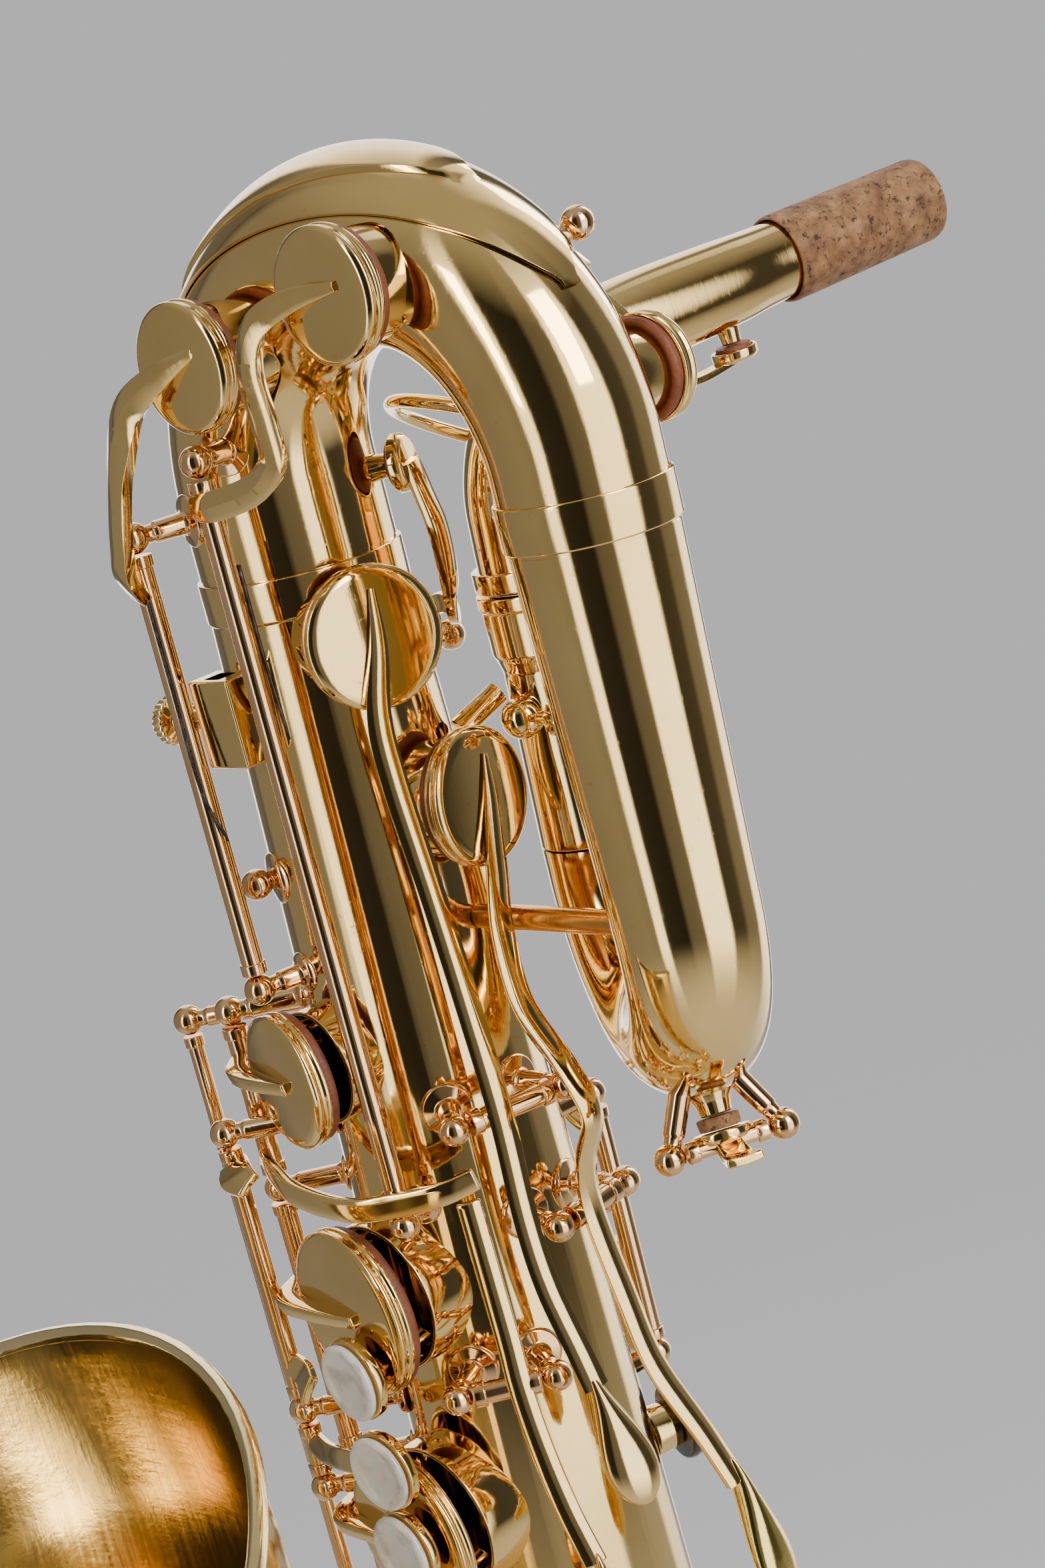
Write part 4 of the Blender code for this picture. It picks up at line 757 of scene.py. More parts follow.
# upright hinge rods beside the body: heading, distance from its axis
STACK_LINE = (-48.0, 41.0)
FRONT_F_LINE = (-41.0, 48.5)
SIDE_LINE = (-55.2, 52.4)
LOWER_LINE = (-44.0, 49.0)
HIGH_E_LINE = (-17.0, 34.3)
HIGH_F_SHARP_LINE = (26.0, 35.0)
OCTAVE_LINE = (171.5, 38.3)
G_SHARP_LINE = (34.0, 46.0)
SIDE_KEY_LINE = (-152.0, 38.5)
LOW_LINE = (92.0, 50.5)

# posts on those lines: line, z, degrees where the foot stands
LINE_POSTS = [
    (STACK_LINE, -94.5, -48.0), (STACK_LINE, -137.0, -48.0), (STACK_LINE, -205.0, -48.0),
    (STACK_LINE, -240.0, -48.0), (STACK_LINE, -292.0, -48.0),
    (FRONT_F_LINE, -120.0, -29.0), (FRONT_F_LINE, -188.0, -30.0), (FRONT_F_LINE, -207.5, -30.0),
    (SIDE_LINE, -96.5, -55.2), (SIDE_LINE, -432.0, -62.0),
    (LOWER_LINE, -316.0, -44.0), (LOWER_LINE, -372.0, -44.0), (LOWER_LINE, -434.0, -44.0),
    (LOWER_LINE, -498.0, -44.0), (LOWER_LINE, -600.0, -44.0), (LOWER_LINE, -680.0, -44.0),
    (HIGH_E_LINE, -86.0, -17.0), (HIGH_F_SHARP_LINE, -139.0, 26.0),
    (OCTAVE_LINE, -139.5, 171.5), (OCTAVE_LINE, -205.5, 171.5),
    (G_SHARP_LINE, -272.0, 34.0), (G_SHARP_LINE, -326.0, 34.0),
    (SIDE_KEY_LINE, -130.0, -152.0), (SIDE_KEY_LINE, -178.0, -152.0),
    (SIDE_KEY_LINE, -228.0, -152.0),
    (LOW_LINE, -510.0, 92.0), (LOW_LINE, -580.0, 92.0),
]
# cross rods of the palm keys: z, from and to degrees, height of their balls
PALM_RODS = {
    "palm_f_key": (-119.0, 51.7, 93.0, 14.0),
    "palm_e_flat_key": (-147.0, 76.4, 110.0, 14.0),
    "palm_d_key": (-178.0, 31.0, 63.0, 14.0),
}
GUARD = (18.0, 150.0, 62.0)     # along the bow, from and to, and half its spread, degrees
RIDGE = (28.0, 122.0, 40.0)     # the same for the leaf raised on it
GUARD_LOOK_LIFT = 0.6
BACK_PIVOT = (150.0, Vector((-0.5, 0.866, 0.0)))    # degrees along the bow, and outward
STUD = (136.0, Vector((0.42, 0.8, 0.43)))
OCTAVE_PIP = (118.0, 15.0)      # on the upper bow's leg
OCTAVE_PIVOT = (-28.0, 174.0, 203.0, 11.0)
THUMB_REST = (160.0, -220.0)
LYRE_PHI = -1.0
BRACE_Y = 3.8
BRACE_Z = -82.0
BELL_BRACE_Z = -304.0


def on_line(line, z):
    """A point on an upright hinge rod."""
    out = heading(line[0]) * line[1]
    return spot(out.x, out.y, z)


# ---- tubes --------------------------------------------------------------------------------
def with_holes(shell, holes):
    """Add chimneys and bore them; holes are (crest, outward, cup radius, tube radius)."""
    bores = []
    chimneys = []
    for crest, out, radius, tube_radius in holes:
        outer = radius - 2.3
        depth = tube_radius - (tube_radius ** 2 - outer ** 2) ** 0.5 + 1.6
        bores.append(cylinder(crest - out * (depth + 2.0) * MM, crest + out * 8.0 * MM,
                              outer - 0.4, ROUND_STEPS))
        chimneys.append(turned([(outer, CHIMNEY_H), (outer, -depth), (outer - 0.9, -depth),
                                (outer - 0.9, CHIMNEY_H)], crest, out, ROUND_STEPS, closed=True))
    return join([carve(shell, join(bores)), *chimneys])


def build_body():
    top = body_radius(0.0)
    end = body_radius(-BODY_LENGTH)
    joint_z = -BODY_LENGTH + 14.0
    profile = [(top + 0.8, -GAP), (top + 0.8, -9.0), (body_radius(-9.0), -9.4),
               (body_radius(-400.0), -400.0), (body_radius(joint_z), joint_z),
               (end + 1.4, joint_z - 1.0), (end + 1.4, -BODY_LENGTH + GAP),
               (end - WALL, -BODY_LENGTH + GAP), (top - WALL, -GAP)]
    shell = turned(profile, spot(0.0, 0.0, 0.0), UP, 22, closed=True)
    holes = [(on_body(phi, z, 0.0), heading(phi), radius, body_radius(z))
             for phi, z, radius in BODY_HOLES.values()]
    shell = with_holes(shell, holes)
    stands = [post(on_body(foot, z, 0.0), on_line(line, z), False)
              for line, z, foot in LINE_POSTS]
    for z, start, end_phi, height in [*PALM_RODS.values(), OCTAVE_PIVOT]:
        for phi in (start, end_phi):
            stands.append(post(on_body(phi, z, 0.0), on_body(phi, z, height)))
    stands.append(post(on_body(-24.0, -65.0, 0.0), on_body(-24.0, -65.0, 4.6)))
    rest = turned([(0.0, 7.0), (5.5, 7.0), (6.0, 0.5), (7.5, -0.5), (0.0, -1.5)],
                  on_body(*THUMB_REST, 0.0), heading(THUMB_REST[0]))
    node("body_tube", [shell, *stands, rest], LACQUER)


def build_upper_bow():
    path = [spot(0.0, 0.0, GAP), spot(0.0, 0.0, BOW_RISE / 2)]
    radii = [BODY_TOP_R, BODY_TOP_R]
    for step in range(61):
        path.append(bow_point(step * 3.0))
        radii.append(bow_radius(step * 3.0))
    path += [spot(LOOP_X, 0.0, BOW_RISE / 2), spot(LOOP_X, 0.0, GAP)]
    radii += [LOOP_R, LOOP_R]
    shell = tube(path, radii, 18, WALL)
    band = turned([(LOOP_R + 0.8, 9.6), (LOOP_R + 0.8, GAP), (LOOP_R - 0.5, GAP),
                   (LOOP_R - 0.5, 9.6)], spot(LOOP_X, 0.0, 0.0), UP, 18, closed=True)
    holes = [(bow_crest(name, 0.0), hole[2], hole[3], LOOP_R) for name, hole in BOW_HOLES.items()]
    sleeves = [turned([(radius, 4.0), (radius, -4.0), (radius - 0.6, -4.0), (radius - 0.6, 4.0)],
                      spot(x, 0.0, 0.0), UP, 22, closed=True)
               for x, radius in ((0.0, BODY_TOP_R - 0.2), (LOOP_X, LOOP_R - 0.2))]
    shell = join([with_holes(shell, holes), band, *sleeves])
    stands = [
        post(leg_point(26.0, 27.5, -0.8), on_line(HIGH_F_SHARP_LINE, 28.0)),
        post(leg_point(-17.0, 14.0, 0.0), on_line(HIGH_E_LINE, 14.0)),
        post(bow_surface(*BACK_PIVOT, -0.5), bow_surface(*BACK_PIVOT, 9.0)),
        post(bow_surface(*STUD, -0.5), bow_surface(*STUD, 4.5), False),
        turned([(0.0, 4.0), (2.4, 4.0), (3.0, -0.8), (0.0, -0.8)],
               leg_point(*OCTAVE_PIP, 0.0), heading(OCTAVE_PIP[0]), 12),
    ]
    node("upper_bow", [shell, *stands], LACQUER)


def build_bow_guard():
    """One leaf-shaped plate over the outside of the bow with a narrower leaf raised on it."""
    rows, columns = 110, 100
    grid = bmesh.new()
    bmesh.ops.create_grid(grid, x_segments=rows, y_segments=columns, size=1.0)
    for vertex in grid.verts:
        share = (vertex.co.x + 1.0) / 2.0
        side = vertex.co.y
        angle = GUARD[0] + (GUARD[1] - GUARD[0]) * share
        width = GUARD[2] * max(sin(pi * share), 0.04) ** 0.7
        inner_share = (angle - RIDGE[0]) / (RIDGE[1] - RIDGE[0])
        leaf = RIDGE[2] * sin(pi * inner_share) ** 0.7 if 0.0 < inner_share < 1.0 else 0.0
        inner = min(max(leaf, 0.15 * width), width * 0.85)
        out_share = max(0.0, (abs(side) - 0.62) / 0.38)
        step = max(0.0, min(1.0, (0.62 - abs(side)) / 0.06))
        edge = inner + (width - inner) * 0.06
        spread = inner * min(abs(side) / 0.56, 1.0) + (edge - inner) * (1.0 - step)
        spread += (width - edge) * out_share
        lift = GUARD_LOOK_LIFT + 0.95 * min(1.0, leaf / 8.0) * step * step * (3 - 2 * step)
        spread = spread if side > 0.0 else -spread
        turn = radians(angle)
        outward = Vector((-cos(turn), 0.0, sin(turn)))
        out = outward * cos(radians(spread)) + FRONT * sin(radians(spread))
        vertex.co = bow_surface(angle, out, lift)
    item = from_grid("guard", grid)
    thicken(item, 0.8)
    bevel(item, 0.3)
    node("bow_guard", [bake(item)], LACQUER)


def build_loop():
    """The loop: down from the upper bow, round, and up to the receiver's foot."""
    foot = LOOP_R - TAPER * LOOP_LENGTH
    start = spot(LOOP_X, 0.0, -LOOP_LENGTH)
    end = spot(*RECEIVER, -LOOP_LENGTH)
    turn = arc((start + end) / 2, start, end, -UP, 50)
    reach = (end - start).length / MM
    taper = TAPER * pi / 2 * reach / 50
    path = [spot(LOOP_X, 0.0, -GAP), *turn, end + UP * LOOP_STUB * MM]
    radii = [LOOP_R, *[foot - taper * i for i in range(51)], foot - taper * 50]
    bow = tube(path, radii, 18, WALL)
    low = turn[20]
    nipple_out = (low - (start + end) / 2).normalized()
    nipple_at = low + nipple_out * (foot - 20 * taper) * MM
    nipple = turned([(3.4, 4.2), (3.8, 1.5), (5.0, -1.2), (1.6, -3.0), (1.6, 4.2)],
                    nipple_at, nipple_out, 12, closed=True)
    pieces = [bow, nipple]
    back = (end - start).normalized()
    across = nipple_out.cross(back).normalized()
    for side in (-1.0, 1.0):
        centre = nipple_at + (nipple_out * 9.5 + across * side * 12.5 - back * 2.0) * MM
        foot_at = low + (centre - low).normalized() * 12.0 * MM
        pieces.append(post(foot_at, centre))
    node("loop_tube", pieces, LACQUER)
    return nipple_at, nipple_out, across, back, foot - 50 * taper


def build_receiver(foot):
    x, y = RECEIVER
    top = RECEIVER_TOP - GAP
    narrow = foot - TAPER * (LOOP_LENGTH + RECEIVER_TOP)
    profile = [(13.2, top), (13.2, top - 3.0), (12.7, top - 3.5), (12.7, top - 13.0),
               (12.2, top - 14.0), (narrow + 0.2, top - 17.0),
               (foot, LOOP_STUB - LOOP_LENGTH + GAP),
               (foot - WALL, LOOP_STUB - LOOP_LENGTH + GAP), (narrow - 1.2, top - 17.0),
               (narrow - 1.2, top)]
    tube_piece = turned(profile, spot(x, y, 0.0), UP, 18, closed=True)
    out = heading(-3.0)
    lug_z = top - 26.0
    lug_at = spot(x + out.x * 12.8, y + out.y * 12.8, lug_z)
    stem = cylinder(spot(x + out.x * 9.9, y + out.y * 9.9, lug_z), lug_at, 2.6)
    node("receiver_tube", [tube_piece, ball(lug_at, 4.5, 10), stem], LACQUER)
    run = UP.cross(out).normalized()
    shaft = lug_at + run * (5.2 + GAP) * MM
    screw = turned([(0.0, 9.0), (3.4, 8.4), (3.8, 7.0), (3.8, 5.0), (1.6, 4.4), (1.6, 0.0),
                    (0.0, 0.0)], shaft, run, 14)
    knurl(screw, shaft, run, 3.2, 0.3, 14)
    node("receiver_screw", [screw], LACQUER, shaft)
    HINGES["receiver_screw"] = (shaft, run, 0.0)


def build_neck():
    top = RECEIVER_TOP + GAP
    places = [(0.0, top), (0.0, -6.0), (0.6, 3.0), (4.0, 12.0), (10.5, 20.0), (21.0, 25.8),
              (36.0, 28.8), (62.0, 31.0), (76.0, 32.4), (118.0, 36.1)]
    radii = [11.5, 11.2, 11.0, 10.8, 10.6, 10.4, 10.2, 9.5, 8.7, 8.0]
    path = smooth([neck_point(*place) for place in places], 8)
    radii = [step.x for step in smooth([Vector((radius, 0.0)).to_3d() for radius in radii], 8)]
    shell = tube(path, radii, 16, WALL)
    collar = turned([(13.0, top + 4.5), (13.0, top), (10.4, top), (10.4, top + 4.5)],
                    spot(*RECEIVER, 0.0), UP, 18, closed=True)
    axis = (neck_point(98.0, 34.4) - neck_point(78.0, 32.6)).normalized()
    across = axis.cross(UP).normalized()
    below = axis.cross(across).normalized()
    if below.z > 0:
        below = -below
    pip_at = neck_point(60.0, 31.1) + below * 9.6 * MM
    pip = turned([(0.0, 3.4), (2.2, 3.4), (2.6, -0.7), (0.0, -0.7)], pip_at, below, 12)
    pivot = neck_point(36.0, 28.8) + below * 14.0 * MM
    pieces = [shell, collar, pip]
    for side in (-1.0, 1.0):
        place = pivot + across * side * 9.0 * MM
        foot = neck_point(36.0, 28.8) + (place - neck_point(36.0, 28.8)).normalized() * 9.8 * MM
        pieces.append(post(foot, place))
    seat = spot(*RECEIVER, RECEIVER_TOP)
    node("neck", pieces, LACQUER, seat)
    HINGES["neck"] = (seat, UP, 0.0)

    cork_path = [neck_point(76.5, 32.44), neck_point(119.0, 36.2)]
    cork_axis = (cork_path[1] - cork_path[0]).normalized()
    sleeve = [(9.15, 42.2), (9.5, 41.2), (9.9, 2.0), (9.6, 0.8), (9.1, 0.8), (8.45, 42.2)]
    cork = turned(sleeve, cork_path[0], cork_axis, 18, closed=True)
    node("neck_cork", [cork], CORK, seat)

    axle = rod(pivot - across * 5.2 * MM, pivot + across * 5.2 * MM, 1.8, 8)
    reach = pip_at + below * (3.4 + GAP + 2.0) * MM
    cup = turned([(0.0, 3.6), (4.6, 3.4), (5.2, 2.6), (5.2, 0.8), (4.4, 0.8), (4.4, 2.3),
                  (0.0, 2.3)], pip_at + below * (3.4 + GAP) * MM, below, 12)
    arm = strap([reach + below * 1.0 * MM, (reach + pivot) / 2 + below * 2.4 * MM,
                 pivot + below * 1.0 * MM, neck_point(26.0, 8.0), neck_point(20.0, 4.4)],
                [below] * 5, [4.0, 6.0, 7.0, 6.0, 6.0], 1.6)
    tilt = (UP * 0.86 + NECK_OUT * 0.5).normalized()
    hoop = ring(neck_point(0.0, 16.0), tilt, 23.0, 1.5, 14)
    node("neck_octave_key", [arm, axle, cup, hoop], LACQUER, pivot)
    HINGES["neck_octave_key"] = (pivot, -across, 0.0)
    disc = turned([(0.0, 1.9), (4.0, 1.9), (4.0, 0.0), (0.0, 0.0)],
                  pip_at + below * (3.4 + GAP) * MM, below, 12)
    node("neck_octave_pad", [disc], LEATHER, pivot)


def build_lower_tubes():
    start = spot(0.0, 0.0, -BODY_LENGTH)
    end = spot(0.0, -BOW_SPACING, -BODY_LENGTH)
    stub = UP * 4.0 * MM
    path = [start, *arc((start + end) / 2 - stub, start - stub, end - stub, -UP, 48), end]
    first = body_radius(-BODY_LENGTH)
    radii = [first + (BELL_SHAPE[0][1] - first) * i / 50 for i in range(51)]
    bow = tube(path, radii, 18, WALL)
    for corner in bow.data.vertices:
        if corner.co.z > start.z - 2.0 * MM:
            corner.co.z = start.z
    bands = []
    for centre, radius in ((start, first), (end, BELL_SHAPE[0][1])):
        bands.append(turned([(radius + 1.4, -GAP), (radius + 1.4, -9.0), (radius - 0.4, -9.5),
                             (radius - 0.4, -GAP)], centre, UP, 18, closed=True))
    node("bottom_bow", [bow, *bands], LACQUER)

    shape = smooth([Vector((z, radius, 0.0)) for z, radius in BELL_SHAPE], 8)
    path = [bell_centre(step.x) for step in shape]
    shell = tube(path, [step.y for step in shape], 24, WALL)
    band = turned([(48.2, 14.0), (48.2, GAP), (46.3, GAP), (46.3, 14.0)], end, UP, 22, closed=True)
    holes = [(on_bell(phi, z, 0.0), heading(phi), radius, bell_radius(z))
             for phi, z, radius in BELL_HOLES.values()]
    shell = join([with_holes(shell, holes), band])
    run = (path[-1] - path[-2]).normalized()
    rim = turned([(BELL_RIM_R + 2.4, 0.6), (BELL_RIM_R + 2.4, -1.6), (BELL_RIM_R + 0.8, -2.6),
                  (BELL_RIM_R - 1.4, -1.0), (BELL_RIM_R - 0.6, 1.0), (BELL_RIM_R + 0.8, 1.6)],
                 path[-1], run, 22, closed=True)
    stands = [post(on_bell(phi, z, 0.0), on_bell(phi, z, 13.0)) for phi, z in BELL_POSTS]
    node("bell", [shell, rim, *stands], BELL_BRASS)


def build_braces():
    start = spot(body_radius(BRACE_Z) + GAP, BRACE_Y, BRACE_Z)
    end = spot(LOOP_X - (LOOP_R + TAPER * BRACE_Z) - GAP - 1.0, BRACE_Y, BRACE_Z)
    node("loop_brace", [cylinder(start, end, 2.7, 10)], DEEP_BRASS)

    x, y = RECEIVER
    out = Vector((x, y, 0.0)).normalized()
    low = on_body(122.0, -43.4, 2.3)
    high = spot(x - out.x * 13.6, y - out.y * 13.6, -38.6)
    node("receiver_brace", [cylinder(low, high, 2.6, 10)], LACQUER)

    wall = body_radius(BELL_BRACE_Z)
    span = BOW_SPACING - wall - bell_radius(BELL_BRACE_Z) - 2 * GAP - 0.4
    middle = spot(0.0, -wall - GAP - 0.2 - span / 2, BELL_BRACE_Z)
    near, far = [cylinder(middle + FRONT * side * 11.0 * MM, middle + FRONT * side * span / 2 * MM,
                          3.4) for side in (-1.0, 1.0)]
    node("bell_brace", [ring(middle, UP, 12.5, 2.6), near, far], LACQUER)


def knurl(item, centre, axis, from_r, depth, teeth=12):
    """Press ridges into the rim of a turned screw head."""
    axis = axis.normalized()
    side = facing(axis).col[0].copy()
    across = axis.cross(side)
    for corner in item.data.vertices:
        offset = corner.co - centre
        offset -= axis * offset.dot(axis)
        if offset.length > from_r * MM:
            turn = Vector((offset.dot(side), offset.dot(across))).angle_signed(Vector((1.0, 0.0)))
            corner.co -= offset.normalized() * depth * MM * (0.5 + 0.5 * cos(turn * teeth))
    return item


def build_fittings():
    out = heading(LYRE_PHI)
    centre = on_body(LYRE_PHI, -27.0, GAP + 5.2)
    block = box(centre, (13.0, 8.6, 19.0), UP, side=out.cross(UP))
    slot = box(centre + out * 0.4 * MM, (5.4, 5.0, 30.0), UP, side=out.cross(UP))
    node("lyre_holder", [carve(block, slot)], LACQUER)
    side = out.cross(UP)
    if side.x > 0:
        side = -side
    seat = centre + side * (6.5 + GAP) * MM
    screw = turned([(0.0, 15.6), (4.4, 15.4), (5.1, 14.8), (5.5, 14.0), (5.5, 12.6), (5.0, 11.8),
                    (2.6, 11.2), (2.2, 9.6), (3.0, 8.6), (3.0, 6.2), (2.2, 5.4), (2.2, 2.5),
                    (1.8, 0.0), (0.0, 0.0)], seat, side, 24)
    knurl(screw, seat, side, 5.0, 0.35, 24)
    node("lyre_screw", [screw], LACQUER, seat)
    HINGES["lyre_screw"] = (seat, side, 0.0)

    eye = spot(0.0, RING_Y, RING_Z)
    loop = ring(eye, Vector((1.0, 0.0, 0.0)), 8.2, 2.0)
    plate = box(spot(0.0, body_radius(RING_Z) + 1.6, RING_Z), (12.0, 1.8, 26.0))
    node("strap_ring", [loop, plate], LACQUER)

    rest = turned([(0.0, 4.4), (6.0, 4.4), (9.0, 3.0), (9.4, 1.5), (9.0, 0.0), (0.0, 0.0)],
                  on_body(THUMB_REST[0], THUMB_REST[1], 7.0 + GAP), heading(THUMB_REST[0]), 14)
    node("thumb_rest", [rest], BLACK)

    hook_z = -480.0
    back = body_radius(hook_z)
    points = [spot(0.0, back + 2.6, hook_z + 10.0), spot(0.0, back + 2.8, hook_z - 2.0),
              spot(2.0, back + 8.0, hook_z - 9.0), spot(6.0, back + 20.0, hook_z - 6.0),
              spot(10.0, back + 26.0, hook_z + 6.0)]
    faces = [Vector((0.0, 1.0, 0.0)), Vector((0.0, 1.0, -0.4)), Vector((0.0, 0.5, -1.0)),
             Vector((0.0, 0.6, -1.0)), Vector((0.0, 1.0, 0.0))]
    node("thumb_hook", [strap(points, faces, [12.0, 12.0, 13.0, 13.0, 9.0])], LACQUER)


# ---- keys ---------------------------------------------------------------------------------
HINGES = {}                     # node name: hinge point, axis, degrees it rests open
BELL_POSTS = [(-45.0, -655.0), (-45.0, -567.0), (-45.0, -480.0), (48.0, -745.0), (48.0, -655.0)]


def cup_over(name):
    """A cup's radius, which way it faces, and what gives a point above its tone hole."""
    if name in BOW_HOLES:
        out, radius = BOW_HOLES[name][2:]
        return radius, out, lambda height: bow_crest(name, height)
    phi, z, radius = (BELL_HOLES if name in BELL_HOLES else BODY_HOLES)[name]
    surface = on_bell if name in BELL_HOLES else on_body
    return radius, heading(phi), lambda height: surface(phi, z, height)


def settle(item, name):
    """Turn a piece built closed to where it rests."""
    pivot, axis, rest = HINGES[name]
    if rest:
        item.data.transform(around(pivot, axis, rest))
    return item


def key_node(name, pieces):
    """Weld a key, turn it to rest and put its origin on its hinge."""
    node(name, [settle(join(pieces), name)], LACQUER, HINGES[name][0])


def rider(name, key, piece, finish):
    """A pad or pearl that moves with a key."""
    node(name, [settle(piece, key)], finish, HINGES[key][0])


def hinge(name, start, end, opens_at, out, rest=0.0):
    """Record a key's hinge so that a positive turn lifts its cup (or lets it down if open)."""
    axis = (end - start).normalized()
    middle = (start + end) / 2
    if axis.cross(opens_at - middle).dot(out) < 0:
        axis = -axis
    HINGES[name] = (middle, axis, rest)


def palm_rod(name):
    z, first, last, height = PALM_RODS[name] if name in PALM_RODS else OCTAVE_PIVOT
    start = on_body(first, z, height)
    end = on_body(last, z, height)
    shrink = (end - start).normalized() * (BALL_R + GAP) * MM
    return start + shrink, end - shrink


def body_strap(places, widths, thickness=STRAP_T, count=2, crown=0.35):
    """A strap through (degrees, z, height) places around the body, facing out."""
    points = [on_body(*place) for place in places]
    normals = [heading(place[0]) for place in places]
    return strap(points, normals, widths, thickness, count, crown)


def build_palm_keys():
    straps = {
        "palm_f_key": [(72.5, -5.5, 11.9), (69.5, -17.0, 12.5), (63.0, -31.0, 12.6),
                       (62.5, -45.0, 12.2), (65.0, -70.0, 12.0), (66.5, -95.0, 12.6),
                       (67.0, -119.0, 13.7), (66.0, -142.0, 13.8), (66.4, -158.0, 15.8),
                       (68.5, -173.0, 20.6), (69.6, -180.0, 22.0)],
        "palm_e_flat_key": [(101.0, -46.5, 11.9), (97.0, -56.0, 12.5), (90.0, -69.0, 13.2),
                            (85.5, -83.0, 12.8), (85.0, -99.0, 13.6), (87.0, -113.0, 20.5),
                            (88.0, -124.0, 23.4), (88.0, -135.0, 17.5), (89.0, -147.0, 14.6),
                            (90.5, -168.0, 16.4), (92.5, -185.0, 18.2), (96.0, -202.0, 24.0),
                            (98.0, -214.0, 27.5)],
        "palm_d_key": [(50.0, -136.5, 9.0), (50.5, -152.0, 10.8), (51.0, -168.0, 13.0),
                       (51.0, -178.0, 14.2), (52.5, -192.0, 15.4), (55.0, -206.0, 18.0),
                       (58.0, -218.0, 21.5)],
    }
    touches = {"palm_f_key": ((71.0, -190.5, 23.6), (73.2, -207.0, 26.6), 34.0),
               "palm_e_flat_key": ((99.5, -226.0, 30.0), (100.0, -244.0, 33.0), 36.0),
               "palm_d_key": ((59.5, -230.0, 23.5), (60.5, -248.0, 25.5), 30.0)}
    for name, places in straps.items():
        start, end = palm_rod(name)
        if name in BODY_HOLES:
            radius, out, over = cup_over(name)
            hinge(name, start, end, over(0.0), out)
        else:
            hinge(name, start, end, on_body(50.0, -136.0, 0.0), heading(50.0))
        widths = [5.0] * len(places)
        if name in BODY_HOLES:
            widths[:3] = [0.8, 3.2, 4.6]
        middle, tip, length = touches[name]
        along = (on_body(*tip) - on_body(*middle)).normalized()
        up = heading(middle[0])
        pieces = [body_strap(places, widths, 2.0, 2, 0.9), rod(start, end, ROD_R),
                  teardrop(on_body(*middle), along, up, length, 15.5, 6.4)]
        painted(pieces[2], WORN_BRASS if name == "palm_e_flat_key" else LACQUER)
        if name in BODY_HOLES:
            at = over(CUP_LIFT)
            pieces.append(key_cup(at, out, radius))
            rider(name.replace("key", "pad"), name, pad(at, out, radius), LEATHER)
        key_node(name, pieces)


def build_high_keys():
    # high E: cup on the front of the bow, upright rod on the bell side
    radius, out, over = cup_over("high_e_key")
    start = on_line(HIGH_E_LINE, -86.0 + BALL_R + GAP)
    end = on_line(HIGH_E_LINE, 14.0 - BALL_R - GAP)
    hinge("high_e_key", start, end, over(0.0), out)
    at = over(CUP_LIFT)
    arm = strap(trail((24.0, -31.3, 49.5), (14.4, -33.6, 46.0), (4.5, -35.4, 40.6),
                 (-0.5, -37.2, 31.0), (-2.6, -39.2, 21.0), (-5.0, -39.6, 13.0),
                 (-6.8, -39.0, 8.6), (-9.4, -34.6, 3.0)),
                [FRONT, FRONT, FRONT, heading(-15), heading(-25), heading(-25), heading(-22),
                 heading(-20)], [0.8, 4.4, 6.6, 8.0, 8.4, 8.4, 7.6, 6.5], 2.6, 2, 1.5)
    key_node("high_e_key", [rod(start, end, ROD_R), arm, key_cup(at, out, radius)])
    rider("high_e_pad", "high_e_key", pad(at, out, radius), LEATHER)

    # high F sharp: cup further round the bow, rod down to a cross bar above the palm D key
    radius, out, over = cup_over("high_f_sharp_key")
    start = on_line(HIGH_F_SHARP_LINE, -139.0 + BALL_R + GAP)
    end = on_line(HIGH_F_SHARP_LINE, 28.0 - BALL_R - GAP)
    hinge("high_f_sharp_key", start, end, over(0.0), out)
    at = over(CUP_LIFT)
    arm = strap(trail((68.0, -29.6, 57.2), (57.0, -31.4, 56.2), (48.0, -33.6, 52.8),
                 (44.0, -34.8, 45.0), (44.4, -35.0, 34.0), (43.6, -35.0, 26.6),
                 (36.0, -35.0, 22.0), (22.0, -34.6, 19.6), (14.5, -33.4, 19.2)),
                [FRONT] * 9, [0.8, 3.4, 4.6, 5.0, 5.2, 5.2, 5.0, 5.0, 3.6], 3.0, 2, 1.1)
    bar = body_strap([(54.5, -130.4, 13.8), (43.0, -131.9, 13.6), (28.0, -133.0, 12.6),
                      (10.0, -133.2, 14.0), (-13.0, -131.2, 15.0), (-27.0, -128.4, 16.0),
                      (-36.0, -126.6, 16.4)],
                     [4.6, 5.0, 5.4, 5.2, 5.4, 5.6, 5.4], 2.4)
    key_node("high_f_sharp_key", [rod(start, end, ROD_R), arm, bar, key_cup(at, out, radius)])
    rider("high_f_sharp_pad", "high_f_sharp_key", pad(at, out, radius), LEATHER)

    # back F: on the player's side of the bow
    radius, out, over = cup_over("back_f_key")
    at = over(CUP_LIFT)
    pivot = bow_surface(*BACK_PIVOT, 9.0)
    side = (over(9.0) - pivot).normalized()
    axis = out.cross(side).normalized()
    start = pivot - axis * 11.0 * MM
    end = pivot - axis * (BALL_R + GAP) * MM
    hinge("back_f_key", start, end, over(0.0), out)
    inner = pivot - axis * 8.0 * MM
    arm = strap([over(CUP_LIFT + CUP_H + 0.2), (at + inner) / 2 + out * 5 * MM,
                 inner + out * 1.4 * MM, inner - axis * 6.0 * MM + out * 1.0 * MM],
                [out] * 4, [3.0, 5.0, 6.0, 7.0], 2.2)
    key_node("back_f_key", [rod(start, end, ROD_R), arm, key_cup(at, out, radius)])
    rider("back_f_pad", "back_f_key", pad(at, out, radius), LEATHER)


